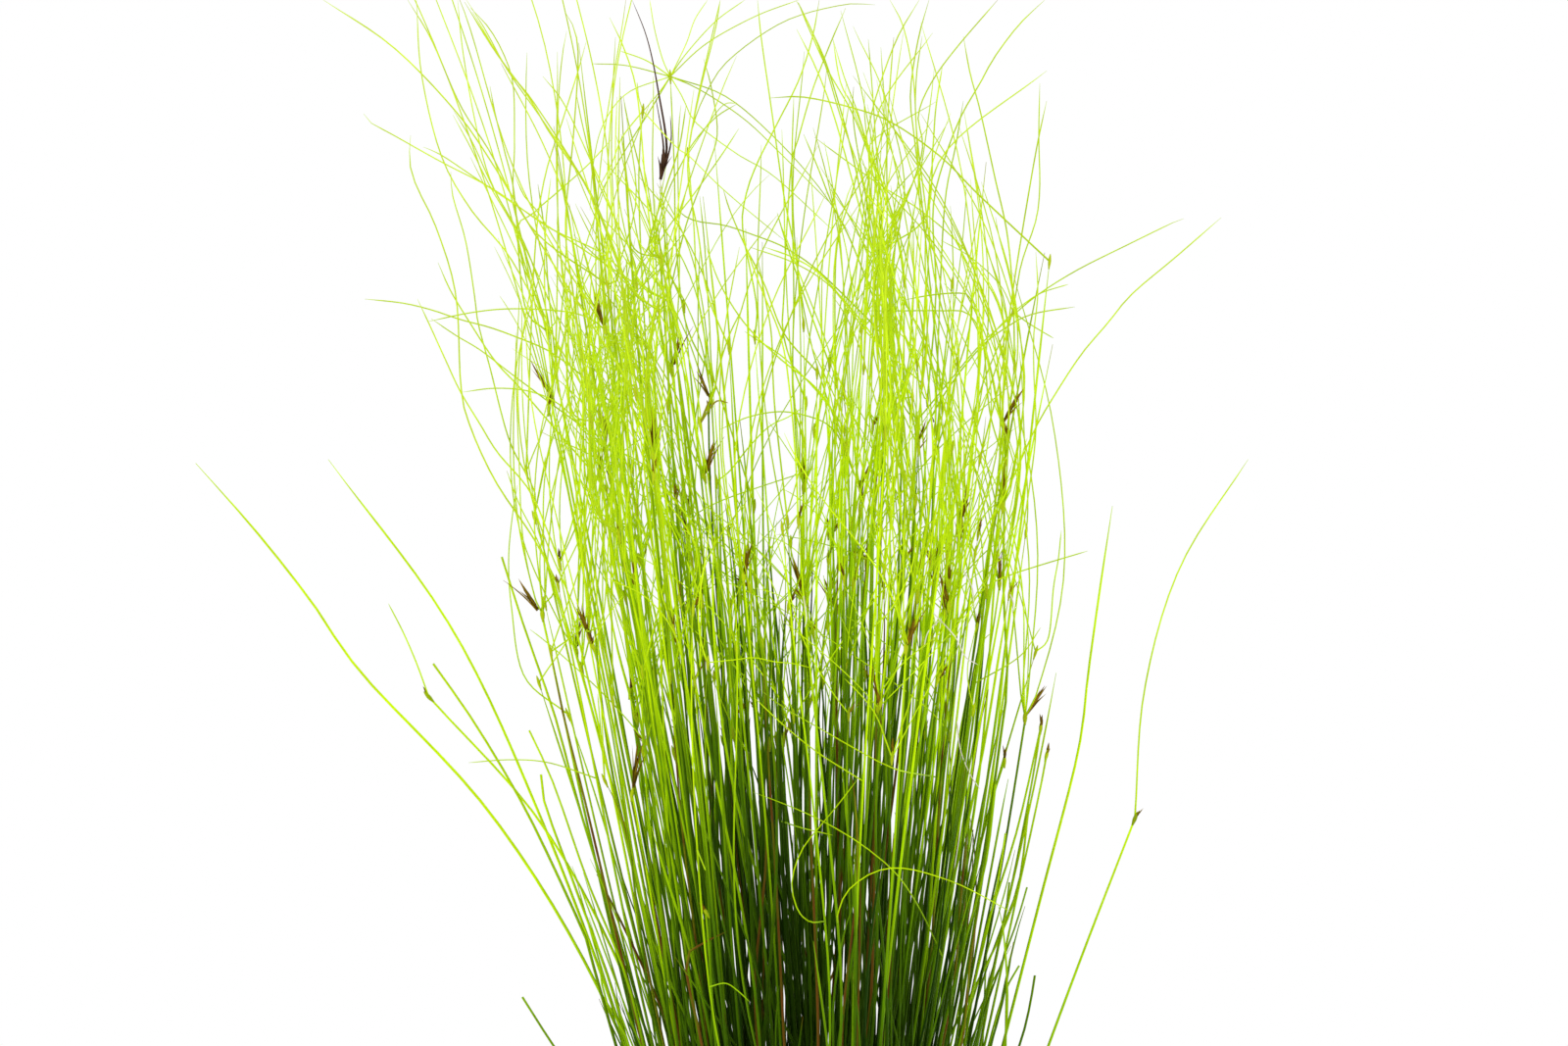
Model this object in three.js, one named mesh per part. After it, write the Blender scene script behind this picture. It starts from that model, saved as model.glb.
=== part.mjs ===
// Umbrella hairgrass: one tuft of thin green culms on its own rootstock, as dug up and trimmed flat.
// A tiller is a short bud on the rootstock with its culms. Its longest culm ends in an umbel, which is
// a brown spikelet with a whorl of thinner daughter culms, called rays, standing up round it.
// Units are millimetres and degrees. X is to the right, Y to the back and Z up. The origin is the
// middle of the flat cut under the rootstock.

import * as THREE from 'three';
import { mergeVertices } from 'three/addons/utils/BufferGeometryUtils.js';

// Rootstock
const CROWN_WIDTH = 50;
const CROWN_DEPTH = 50;
const CROWN_HEIGHT = 12;
const CROWN_SIDES = 22;
const CROWN_PROFILE = [[0, 0], [0.88, 0], [0.98, 0.22], [1, 0.5], [0.96, 0.82], [0.87, 1], [0, 1]];
const CROWN_LOBES = [[3, 0.05, 40], [5, 0.035, 10], [8, 0.02, 75]];

// Stems are three-cornered and taper from foot to tip
const CULM_FOOT_RADIUS = 0.5;
const CULM_RADIUS = 0.36;
const CULM_TOP_RADIUS = 0.24;
const CULM_STEPS = 5;
const RAY_FOOT_RADIUS = 0.3;
const RAY_RADIUS = 0.22;
const RAY_TOP_RADIUS = 0.12;
const RAY_STEPS = 3;

// The bud of a tiller is a turned knob, and one culm grows out of each of its upper faces
const BUD_PROFILE = [[0, 0], [1.5, 0], [2, 5], [0, 6.2]];
const BUD_PITCH = 4.7;
const BUD_SPREAD = 50;
const CULMS = 6;

// A culm that stands by itself has a sheath round its foot
const SHEATH_RADII = [0.95, 0.8];
const SHEATH_HEIGHT = 6;

// The knot of an umbel is a smaller knob, with a ray or the spikelet on each of its upper faces
const KNOT_PROFILE = [[0, 0], [1.4, 1.1], [0, 1.8]];
const SPIKELET_LENGTH = 7;
const SPIKELET_LEAN = 0.4;
const SPIKELET_RADII = [0.45, 0.68, 0.5];

// Spacing
const FACE_GAP = 0.35;
const STEM_CLEARANCE = 1.35;
const CULM_SIBLING_CLEARANCE = 0.95;
const RAY_SIBLING_CLEARANCE = 0.75;
const SAMPLE_STEP = 1;
const TURN_STEP = 23;
const EASE_STEP = 0.02;
const TRIES = 90;

// How a tiller's other culms stand round its longest one. One that is taller rises more upright.
const SIDE_CULM_HEIGHTS = [1.16, 0.93, 1.06, 0.76, 1.24];
const SIDE_CULM_BOWS = [0.02, 0.042, -0.02, 0.03, -0.03];
const SIDE_CULM_REACH = 0.046;
const CULM_BOW = 0.02;
const GOLDEN_ANGLE = 137.5;
const MIDWAY = 0.5;

// The rays of an umbel: their lengths as shares of the longest, how far each tip spreads from the way
// the umbel leans, and how much of that spread a ray has at its foot already.
const RAY_LENGTHS = [1, 0.84, 0.93, 0.72, 0.88];
const RAY_SPREADS = [6, 17, 10, 22, 13];
const RAY_FLARES = [1, 0.2, 2.4, 0.5, 1.8];
const RAY_LIFT = 0.5;

// Making the skins: points closer than this are one, and how often the buds push each other apart
const WELD = 1e-4;
const PUSH_ROUNDS = 200;

const CROWN_FINISH = { color: 0x6e5638, roughness: 0.9 };
const STRAY_FINISH = { color: 0x86b52a, roughness: 0.5 };
const TILLER_FINISH = { color: 0x4f7f1a, roughness: 0.5 };
const UMBEL_FINISH = { color: 0xa6d62e, roughness: 0.5 };

// Each tiller: where its longest culm ends, how long the umbel's rays are, which way they lean
// at their tips, from the upright, to the right and to the back, and how widely they spread if that
// isn't as usual.
const TILLERS = [
  { top: [-43, -22, 244], rays: 84, lean: [-0.2, -0.05] },
  { top: [-30, 8, 236], rays: 62, lean: [-0.08, 0.1], spread: 0.7 },
  { top: [-55, 14, 231], rays: 112, lean: [-0.28, 0.12] },
  { top: [-44, 38, 220], rays: 96, lean: [-0.06, 0.14] },
  { top: [-33, -44, 218], rays: 84, lean: [-0.04, -0.18], spread: 0.7 },
  { top: [-22, 30, 230], rays: 56, lean: [-0.45, 0.2], spread: 0.7 },
  { top: [-23, -14, 214], rays: 66, lean: [-0.34, -0.1], spread: 0.7 },
  { top: [-27, 54, 203], rays: 86, lean: [-0.24, 0.22], spread: 0.7 },
  { top: [-46, -34, 182], rays: 90, lean: [0.04, -0.22], spread: 0.8 },
  { top: [-50, 30, 178], rays: 92, lean: [0.06, 0.16], spread: 0.8 },
  { top: [-56, -8, 186], rays: 66, lean: [-0.02, -0.1], spread: 0.8 },
  { top: [-15, -42, 194], rays: 94, lean: [0.26, -0.2], spread: 0.7 },
  { top: [-3, 14, 212], rays: 88, lean: [0.12, 0.05], spread: 0.7 },
  { top: [-3, -24, 190], rays: 104, lean: [0.06, -0.02], spread: 0.7 },
  { top: [9, 46, 212], rays: 102, lean: [0.05, 0.2] },
  { top: [12, -50, 169], rays: 96, lean: [0.1, -0.14] },
  { top: [29, -8, 205], rays: 102, lean: [-0.15, 0.02], spread: 0.7 },
  { top: [24, 26, 196], rays: 104, lean: [-0.08, 0.12], spread: 0.7 },
  { top: [26, -34, 188], rays: 104, lean: [-0.1, -0.08], spread: 0.7 },
  { top: [38, 12, 225], rays: 44, lean: [-0.12, 0.14] },
  { top: [37, -24, 208], rays: 92, lean: [-0.3, -0.12], spread: 0.6 },
  { top: [38, 42, 192], rays: 94, lean: [-0.26, 0.2], spread: 0.7 },
  { top: [42, -6, 165], rays: 104, lean: [-0.16, -0.06], spread: 0.7 },
  { top: [4, 64, 186], rays: 96, lean: [0.02, 0.24] },
  { top: [17, -62, 180], rays: 92, lean: [0.06, -0.22] },
];

// Stems that stand out from the tuft, each from its foot on the rootstock through a bend to its tip.
// Where a ray carries on from the culm's end in another direction, onward and end give its course.
const STRAYS = [
  { foot: [-17, -4], bend: [-30, -6, 118], tip: [-92.4, -10, 174.4],
    onward: [-108, -12, 198], end: [-126, -16, 217.4] },
  { foot: [-16, 8], bend: [-28, 12, 125], tip: [-80.4, 22, 169.4],
    onward: [-84, 24, 180], end: [-89, 28, 188.6] },
  { foot: [-13, 14], bend: [-62, 32, 184], tip: [-102.4, 46, 218.6] },
  { foot: [17, -8], bend: [38, -18, 80], tip: [63.4, -30, 146],
    onward: [63, -33, 192], end: [85.6, -40, 218] },
  { foot: [16, 10], bend: [36, 16, 90], tip: [53.6, 20, 157.6],
    onward: [57, 22, 184], end: [61, 26, 208.8] },
  { foot: [4, 18], bend: [14, 48, 120], tip: [26, 84, 200] },
];

const UP = new THREE.Vector3(0, 0, 1);

function vector(x, y, z) {
  return new THREE.Vector3(x, y, z);
}

// A level direction, turned from the right towards the back.
function level(turn) {
  const angle = THREE.MathUtils.degToRad(turn);
  return vector(Math.cos(angle), Math.sin(angle), 0);
}

function turnedBy(turn) {
  return new THREE.Quaternion().setFromAxisAngle(UP, THREE.MathUtils.degToRad(turn));
}

function turnOf(x, y) {
  return THREE.MathUtils.radToDeg(Math.atan2(y, x));
}

function bow(foot, middle, tip) {
  return new THREE.QuadraticBezierCurve3(foot, middle, tip);
}

// Shares of a curve's length, evenly spaced, where a stem has its corners.
function stops(count, from = 0, to = 1) {
  return Array.from({ length: count + 1 }, (_, i) => THREE.MathUtils.lerp(from, to, i / count));
}

const CULM_STOPS = stops(CULM_STEPS);
const RAY_STOPS = stops(RAY_STEPS);

// A turned knob standing on Z, as a skin of shared points and of faces that list three of them.
function turnedSkin(profile, sides) {
  const outline = profile.map(([radius, height]) => new THREE.Vector2(radius, height));
  const geometry = new THREE.LatheGeometry(outline, sides).rotateX(Math.PI / 2);
  geometry.deleteAttribute('normal');
  geometry.deleteAttribute('uv');
  const merged = mergeVertices(geometry, WELD);
  const points = [];
  for (let i = 0; i < merged.attributes.position.count; i += 1) {
    points.push(new THREE.Vector3().fromBufferAttribute(merged.attributes.position, i));
  }
  const faces = [];
  for (let i = 0; i < merged.index.count; i += 3) {
    const face = Array.from(merged.index.array.slice(i, i + 3));
    if (new Set(face).size === 3) faces.push(face);
  }
  return { points, faces };
}

function skinMesh({ points, faces }, name, finish) {
  const geometry = new THREE.BufferGeometry().setFromPoints(points);
  geometry.setIndex(faces.flat());
  const material = new THREE.MeshStandardMaterial({ ...finish, metalness: 0 });
  const mesh = new THREE.Mesh(geometry, material);
  mesh.name = name;
  return mesh;
}

// Adds a ring of three points and the band of faces that joins it to the ring before it.
function addRing(skin, ring, points) {
  const next = points.map((point) => skin.points.push(point) - 1);
  ring.forEach((corner, i) => {
    const j = (i + 1) % ring.length;
    skin.faces.push([corner, ring[j], next[j]], [corner, next[j], next[i]]);
  });
  return next;
}

// Carries a stem from a ring along a curve. It ends in a point, or flat where an umbel sits on it.
function follow(skin, start, arms, curve, shares, radii, flatEnd = false) {
  const last = shares.length - 1;
  let ring = start;
  shares.slice(1, flatEnd ? undefined : last).forEach((share, i) => {
    const ahead = curve.getTangentAt(share);
    ring = addRing(skin, ring, arms.map((arm) => (
      curve.getPointAt(share).addScaledVector(arm.clone().projectOnPlane(ahead).normalize(), radii[i]))));
  });
  if (flatEnd) {
    skin.faces.push(ring);
    return;
  }
  const tip = skin.points.push(curve.getPointAt(1)) - 1;
  ring.forEach((corner, i) => skin.faces.push([corner, ring[(i + 1) % ring.length], tip]));
}

function middleOf(skin, face) {
  return face.reduce((sum, corner) => sum.add(skin.points[corner]), vector(0, 0, 0)).divideScalar(3);
}

// Grows a stem out of one face of a skin, from a smaller copy of the face.
function grow(skin, face, footRadius, ...course) {
  skin.faces.splice(skin.faces.indexOf(face), 1);
  const middle = middleOf(skin, face);
  const arms = face.map((corner) => skin.points[corner].clone().sub(middle).normalize());
  const foot = addRing(skin, face, arms.map((arm) => middle.clone().addScaledVector(arm, footRadius)));
  follow(skin, foot, arms, ...course);
}

function tapered(from, to, shares) {
  return shares.slice(1).map((share) => THREE.MathUtils.lerp(from, to, share));
}

// A knob's upper faces are those that meet in its peak, taken in order round it.
function upperFaces({ points, faces }) {
  const peak = points.reduce((best, point, i) => (point.z > points[best].z ? i : best), 0);
  const faceTurn = (face) => (
    turnOf(...face.reduce(([x, y], i) => [x + points[i].x, y + points[i].y], [0, 0])));
  return faces.filter((face) => face.includes(peak)).sort((a, b) => faceTurn(a) - faceTurn(b));
}

function place(skin, spin, at) {
  skin.points.forEach((point) => point.applyQuaternion(spin).add(at));
}

// Stems already placed, so that each new one can be kept clear of them.
const standing = [];

function samples(points) {
  const found = [];
  for (let i = 1; i < points.length; i += 1) {
    const count = Math.ceil(points[i].distanceTo(points[i - 1]) / SAMPLE_STEP);
    for (let k = 0; k <= count; k += 1) found.push(points[i - 1].clone().lerp(points[i], k / count));
  }
  return found;
}

function isClear(points, owner, bearer, siblingClearance) {
  const line = new THREE.Line3();
  const closest = vector(0, 0, 0);
  const own = samples(points);
  return standing.every((other) => {
    if (other.owner === bearer) return true;
    const least = other.owner === owner ? siblingClearance : STEM_CLEARANCE;
    return other.points.every((end, i) => {
      if (i === 0) return true;
      line.set(other.points[i - 1], end);
      return own.every((point) => (
        line.closestPointToPoint(point, true, closest).distanceTo(point) >= least));
    });
  });
}

// Tries a stem at one turn after another, with more bend or reach each time, until it stands clear
// of all the stems placed so far.
function placeClear(curveAt, shares, owner, bearer, siblingClearance) {
  for (let attempt = 0; attempt < TRIES; attempt += 1) {
    const sign = attempt % 2 ? -1 : 1;
    const curve = curveAt(sign * Math.ceil(attempt / 2) * TURN_STEP, 1 + attempt * EASE_STEP);
    const points = shares.map((share) => curve.getPointAt(share));
    if (isClear(points, owner, bearer, siblingClearance)) {
      standing.push({ owner, points });
      return curve;
    }
  }
  throw new Error(`No clear place for a stem of ${owner}`);
}

// Buds stand where their culms lean to, and are then pushed apart to an even pitch.
function budPlaces() {
  const places = TILLERS.map(({ top: [x, y, z] }) => (
    new THREE.Vector2(x, y).multiplyScalar(BUD_SPREAD / z)));
  const fixed = STRAYS.map(({ foot: [x, y] }) => new THREE.Vector2(x, y));
  const push = new THREE.Vector2();
  for (let round = 0; round < PUSH_ROUNDS; round += 1) {
    places.forEach((own) => {
      [...places, ...fixed].filter((other) => other !== own).forEach((other) => {
        push.subVectors(own, other);
        const short = BUD_PITCH - push.length();
        if (short > 0) own.addScaledVector(push.normalize(), short / 2);
      });
    });
  }
  return places;
}

// The rootstock is a low turned cushion with a flat cut below, pushed in and out in soft lobes.
function crownSkin() {
  const skin = turnedSkin(CROWN_PROFILE, CROWN_SIDES);
  skin.points.forEach((point) => {
    const around = Math.atan2(point.y, point.x);
    const lobes = CROWN_LOBES.reduce((sum, [count, depth, turn]) => (
      sum + depth * Math.sin(count * around + THREE.MathUtils.degToRad(turn))), 1);
    point.multiply(vector(lobes * CROWN_WIDTH / 2, lobes * CROWN_DEPTH / 2, CROWN_HEIGHT));
  });
  return skin;
}

// A culm leaves its bud at the foot and bows out to its tip, most at its middle.
function culmCurve(foot, tip, turn, depth) {
  const middle = foot.clone().lerp(tip, MIDWAY).addScaledVector(level(turn), depth * foot.distanceTo(tip));
  return bow(foot, middle, tip);
}

function tiller(index, { x, y }) {
  const skin = turnedSkin(BUD_PROFILE, CULMS);
  const faces = upperFaces(skin);
  place(skin, turnedBy(index * GOLDEN_ANGLE), vector(x, y, CROWN_HEIGHT + FACE_GAP));
  const top = vector(...TILLERS[index].top);
  const curves = faces.map((face, culm) => {
    const root = middleOf(skin, face);
    const height = SIDE_CULM_HEIGHTS[(culm + index) % SIDE_CULM_HEIGHTS.length];
    const depth = SIDE_CULM_BOWS[(culm + index) % SIDE_CULM_BOWS.length];
    const outward = Math.min(height, 1);
    return placeClear((shift, ease) => {
      const turn = turnOf(root.x - x, root.y - y) + shift;
      if (culm === 0) return culmCurve(root, top, turn, CULM_BOW * ease);
      const tip = top.clone().addScaledVector(level(turn), SIDE_CULM_REACH * ease * top.z);
      return culmCurve(root, tip.multiply(vector(outward, outward, height)), turn + 180, depth);
    }, CULM_STOPS, `tiller_${index}`, undefined, CULM_SIBLING_CLEARANCE);
  });
  const radii = tapered(CULM_RADIUS, CULM_TOP_RADIUS, CULM_STOPS);
  faces.forEach((face, culm) => {
    grow(skin, face, CULM_FOOT_RADIUS, curves[culm], CULM_STOPS, radii, culm === 0);
  });
  return { skin, longest: curves[0] };
}

function umbel(index, culm) {
  const { rays, lean: [right, back], spread = 1 } = TILLERS[index];
  const heading = culm.getTangentAt(1);
  const seat = culm.getPointAt(1).addScaledVector(heading, FACE_GAP);
  const spin = new THREE.Quaternion().setFromUnitVectors(UP, heading)
    .multiply(turnedBy(index * GOLDEN_ANGLE));
  const skin = turnedSkin(KNOT_PROFILE, RAY_LENGTHS.length + 1);
  const faces = upperFaces(skin);
  place(skin, spin, seat);
  const [spikeletFace, ...rayFaces] = faces;
  const outOf = (face) => middleOf(skin, face).sub(seat).projectOnPlane(heading).normalize();
  const spikeletRoot = middleOf(skin, spikeletFace);
  const away = heading.clone().addScaledVector(outOf(spikeletFace), SPIKELET_LEAN).normalize();
  const spikelet = new THREE.LineCurve3(
    spikeletRoot, spikeletRoot.clone().addScaledVector(away, SPIKELET_LENGTH));
  placeClear(() => spikelet, RAY_STOPS, `umbel_${index}`, `tiller_${index}`, 0);
  const aim = vector(right, back, 1).normalize();
  const radii = tapered(RAY_RADIUS, RAY_TOP_RADIUS, RAY_STOPS);
  rayFaces.forEach((face, ray) => {
    const root = middleOf(skin, face);
    const length = rays * RAY_LENGTHS[ray];
    const curve = placeClear((shift) => {
      const out = outOf(face).applyAxisAngle(heading, THREE.MathUtils.degToRad(shift))
        .multiplyScalar(Math.sin(THREE.MathUtils.degToRad(spread * RAY_SPREADS[ray])));
      const tip = seat.clone().addScaledVector(aim.clone().add(out).normalize(), length);
      const early = heading.clone().addScaledVector(out, RAY_FLARES[ray]).normalize();
      return bow(root, root.clone().addScaledVector(early, length * RAY_LIFT), tip);
    }, RAY_STOPS, `umbel_${index}`, `tiller_${index}`, RAY_SIBLING_CLEARANCE);
    grow(skin, face, RAY_FOOT_RADIUS, curve, RAY_STOPS, radii);
  });
  grow(skin, spikeletFace, SPIKELET_RADII[0], spikelet, RAY_STOPS, SPIKELET_RADII.slice(1));
  return skin;
}

// A stray culm has a sheathed foot, and where it is kinked a ray carries it on to its end.
function strayCulm({ foot: [x, y], bend, tip, onward, end }, index) {
  const course = new THREE.CurvePath();
  course.add(bow(vector(x, y, CROWN_HEIGHT + FACE_GAP), vector(...bend), vector(...tip)));
  let shares = CULM_STOPS;
  if (end) {
    course.add(bow(vector(...tip), vector(...onward), vector(...end)));
    const [culmLength, wholeLength] = course.getCurveLengths();
    const kink = culmLength / wholeLength;
    shares = [...stops(CULM_STEPS, 0, kink), ...stops(RAY_STEPS, kink, 1).slice(1)];
  }
  placeClear(() => course, shares, `stray_${index}`);
  const arms = [0, 120, 240].map(level);
  const points = arms.map((arm) => course.getPointAt(0).addScaledVector(arm, SHEATH_RADII[0]));
  const skin = { points, faces: [[0, 2, 1]] };
  const sheathEnd = SHEATH_HEIGHT / course.getLength();
  const radii = tapered(CULM_RADIUS, end ? RAY_TOP_RADIUS : CULM_TOP_RADIUS, shares);
  follow(skin, [0, 1, 2], arms, course, [0, sheathEnd, ...shares.slice(1)], [SHEATH_RADII[1], ...radii]);
  return skin;
}

function numbered(name, index) {
  return `${name}_${String(index + 1).padStart(2, '0')}`;
}

const plant = new THREE.Group();
plant.add(skinMesh(crownSkin(), 'crown', CROWN_FINISH));
STRAYS.forEach((stray, index) => {
  plant.add(skinMesh(strayCulm(stray, index), numbered('stray_culm', index), STRAY_FINISH));
});
const tillers = budPlaces().map((bud, index) => tiller(index, bud));
tillers.forEach(({ skin }, index) => {
  plant.add(skinMesh(skin, numbered('tiller', index), TILLER_FINISH));
});
tillers.forEach(({ longest }, index) => {
  plant.add(skinMesh(umbel(index, longest), numbered('umbel', index), UMBEL_FINISH));
});

export default plant;
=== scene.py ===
# %% [markdown]
# # Umbrella hairgrass
# A tuft of umbrella hairgrass is a few hundred leafless green stems, each as fine as a thick hair. Many end
# in a small brown spikelet, and out of its foot grows a whorl of thinner daughter stems, the umbrella.
# The CAD model holds the rootstock, 25 tillers of six stems (culms) each, the whorl on top of each tiller,
# and six stray culms. This lesson follows the middle line of each of those stems, lays a finer stem over
# it, and grows the stems that are too many for CAD between them.

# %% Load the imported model
import math
import random

import bpy
import numpy as np
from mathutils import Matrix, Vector, noise
from mathutils.bvhtree import BVHTree


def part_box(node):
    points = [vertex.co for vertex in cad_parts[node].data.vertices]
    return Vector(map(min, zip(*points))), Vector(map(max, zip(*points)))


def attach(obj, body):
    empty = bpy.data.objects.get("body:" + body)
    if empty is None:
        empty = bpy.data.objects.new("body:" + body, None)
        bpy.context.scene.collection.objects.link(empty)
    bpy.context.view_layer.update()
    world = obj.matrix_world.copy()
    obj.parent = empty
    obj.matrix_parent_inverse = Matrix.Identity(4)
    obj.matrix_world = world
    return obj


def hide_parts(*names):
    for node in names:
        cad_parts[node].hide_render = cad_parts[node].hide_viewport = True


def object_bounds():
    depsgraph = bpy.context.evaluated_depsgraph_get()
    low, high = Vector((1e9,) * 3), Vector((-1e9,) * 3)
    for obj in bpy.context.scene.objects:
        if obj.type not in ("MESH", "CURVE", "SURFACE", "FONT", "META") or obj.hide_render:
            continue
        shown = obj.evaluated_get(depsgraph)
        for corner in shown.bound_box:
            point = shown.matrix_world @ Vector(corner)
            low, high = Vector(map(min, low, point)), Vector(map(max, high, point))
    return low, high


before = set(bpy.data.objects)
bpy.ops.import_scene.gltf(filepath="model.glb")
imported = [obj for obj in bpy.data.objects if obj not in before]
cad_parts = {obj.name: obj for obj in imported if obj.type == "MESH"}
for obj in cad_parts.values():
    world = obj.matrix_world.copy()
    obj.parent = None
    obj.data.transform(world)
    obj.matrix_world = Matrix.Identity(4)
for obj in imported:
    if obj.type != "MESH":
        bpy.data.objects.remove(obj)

MM = 0.001
cad_low, cad_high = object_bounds()
print("CAD box in mm:", [round(c / MM, 1) for c in (*cad_low, *cad_high)])

# %% [markdown]
# ## The camera
# The photograph looks at the tuft level and from the front, and cuts off its foot and its highest tips. The
# camera is made first, because later cells place a few stems by the pixel where the photograph shows them.
# A long lens keeps the near and far stems the same size, as they are there. A shorter lens closer by
# would also fill the frame, but the stems that lean forward would look too thick.

# %% Camera and pixel helper
PHOTO_WIDTH, PHOTO_HEIGHT = 1600, 1067
PIXEL = 0.2 * MM
FOOT_COLUMN, FLOOR_ROW = 835, 1560
LENS, SENSOR = 200, 36
middle_x = (PHOTO_WIDTH / 2 - FOOT_COLUMN) * PIXEL
middle_z = (FLOOR_ROW - PHOTO_HEIGHT / 2) * PIXEL
camera_distance = PHOTO_WIDTH * PIXEL * LENS / SENSOR


def at_pixel(column, row, back=0.0):
    """The point that the photograph shows at this pixel, so many metres behind the plant's middle."""
    spread = 1 + back / camera_distance
    across = (column - PHOTO_WIDTH / 2) * PIXEL * spread
    up = (PHOTO_HEIGHT / 2 - row) * PIXEL * spread
    return np.array([middle_x + across, back, middle_z + up])


def pixels_of(path):
    """The columns and rows at which the photograph shows the points of a path."""
    spread = 1 + path[:, 1] / camera_distance
    columns = PHOTO_WIDTH / 2 + (path[:, 0] - middle_x) / PIXEL / spread
    rows = PHOTO_HEIGHT / 2 - (path[:, 2] - middle_z) / PIXEL / spread
    return columns, rows


camera_data = bpy.data.cameras.new("photo_camera")
camera_data.lens, camera_data.sensor_width = LENS, SENSOR
camera_data.clip_end = 20
camera = bpy.data.objects.new("photo_camera", camera_data)
camera.location = (middle_x, -camera_distance, middle_z)
camera.rotation_euler = (math.pi / 2, 0, 0)
bpy.context.scene.collection.objects.link(camera)
bpy.context.scene.camera = camera
print("Camera", round(camera_distance, 2), "m in front, level with", round(middle_z / MM), "mm")

# %% [markdown]
# ## White room
# The plant was lit from all round on pure white, so thin stems glow and only the crowded foot is dark. A
# white world does that. Two large soft lamps, one in front and one behind, give each stem a lighter and a
# darker side. The floor is a wide pale disc, for which one face is enough. The standard view transform
# keeps the white pure; a filmic one would turn it grey.

# %% World, lamps and floor
bpy.context.scene.view_settings.view_transform = "Standard"
world = bpy.data.worlds.new("white_room")
world.use_nodes = True
world.node_tree.nodes["Background"].inputs["Color"].default_value = (1, 1, 1, 1)
world.node_tree.nodes["Background"].inputs["Strength"].default_value = 1.0
bpy.context.scene.world = world


def soft_lamp(name, place, size, watts):
    """A square area lamp that faces the middle of the tuft."""
    data = bpy.data.lights.new(name, "AREA")
    data.size, data.energy = size, watts
    lamp = bpy.data.objects.new(name, data)
    lamp.location = place
    lamp.rotation_euler = (Vector((0, 0, middle_z)) - Vector(place)).to_track_quat("-Z", "Y").to_euler()
    bpy.context.scene.collection.objects.link(lamp)


soft_lamp("front_lamp", place=(-0.7, -1.1, 1.1), size=0.8, watts=4)
soft_lamp("back_lamp", place=(0.9, 1.2, 0.9), size=0.9, watts=12)

FLOOR_RADIUS, FLOOR_SIDES = 1.5, 96
floor_mesh = bpy.data.meshes.new("floor")
floor_rim = [
    (FLOOR_RADIUS * math.cos(a), FLOOR_RADIUS * math.sin(a), 0.0)
    for a in np.linspace(0, 2 * math.pi, FLOOR_SIDES, endpoint=False)
]
floor_mesh.from_pydata(floor_rim, [], [range(FLOOR_SIDES)])
floor = bpy.data.objects.new("floor", floor_mesh)
bpy.context.scene.collection.objects.link(floor)
print("Two lamps and a floor with a radius of", FLOOR_RADIUS, "m")

# %% [markdown]
# ## Reading the stems
# Each CAD stem is a chain of three-cornered rings that ends in a point. Walking from the tip, from each ring
# to its neighbours, gives the rings in order, and their middles are the stem's middle line. The walk stops
# at the knob the stem grows from, because more than three corners follow there. The lines could also be
# typed in again here, but reading them keeps this lesson in step with the CAD model. Stems that were read
# in this way are called traced below.

# %% Walk the rings of a node
WELD = 1e-6
RING_CORNERS = 3


def welded(node):
    """The corners of a node without doubles, and for each corner the corners it shares an edge with."""
    index, corners, which = {}, [], []
    for vertex in node.data.vertices:
        key = tuple(round(c / WELD) for c in vertex.co)
        if key not in index:
            index[key] = len(corners)
            corners.append(np.array(vertex.co))
        which.append(index[key])
    near = [set() for _ in corners]
    for edge in node.data.edges:
        a, b = (which[v] for v in edge.vertices)
        near[a].add(b)
        near[b].add(a)
    return corners, near


def walk(ring, near):
    """The rings from this one down to the stem's foot."""
    rings, seen = [ring], set(ring)
    while True:
        ring = set().union(*(near[i] for i in ring)) - seen
        if len(ring) != RING_CORNERS:
            break
        rings.append(ring)
        seen |= ring
    if ring:
        rings.pop()
    return rings


def middle_lines(name, flat_top=False):
    """The middle line of each stem of a node, from foot to tip, with its flat-topped stem first, if any."""
    corners, near = welded(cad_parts[name])
    tips = [
        {i} for i, mates in enumerate(near)
        if len(mates) == RING_CORNERS and all(mates - {m} <= near[m] for m in mates)
    ]
    pointed = [walk(tip, near) for tip in tips]
    used = set().union(*(ring for rings in pointed for ring in rings))
    left = sorted(set(range(len(corners))) - used, key=lambda i: -corners[i][2])
    flat = [walk(set(left[:RING_CORNERS]), near)] if flat_top else []
    return [
        np.array([np.mean([corners[i] for i in ring], axis=0) for ring in reversed(rings)])
        for rings in flat + pointed
    ]


# %% [markdown]
# ## Smooth paths
# A CAD line has only a few straight stretches. A Catmull-Rom curve passes through all the ring middles and
# rounds what lies between, as a growing stem does. Its points are then spread evenly, so that a number from
# 0 to 1 always means the same share of a stem's length.

# %% Curve helpers
FINE_STEPS = 12


def smooth_path(points, count):
    """A rounded curve through the points, as evenly spaced points."""
    p = np.asarray(points, float)
    ends = np.vstack([2 * p[0] - p[1], p, 2 * p[-1] - p[-2]])
    spans = len(p) - 1
    at = np.linspace(0, spans, FINE_STEPS * spans + 1)
    span = np.minimum(at.astype(int), spans - 1)
    t = (at - span)[:, None]
    a, b, c, d = (ends[span + k] for k in range(4))
    fine = 0.5 * (2 * b + (c - a) * t + (2 * a - 5 * b + 4 * c - d) * t**2 + (3 * b - a - 3 * c + d) * t**3)
    return even_path(fine, count)


def even_path(points, count):
    """The same line with so many evenly spaced points."""
    steps = np.linalg.norm(np.diff(points, axis=0), axis=1)
    length = np.concatenate([[0], np.cumsum(steps)])
    even = np.linspace(0, length[-1], count)
    return np.stack([np.interp(even, length, points[:, k]) for k in range(3)], axis=1)


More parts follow.
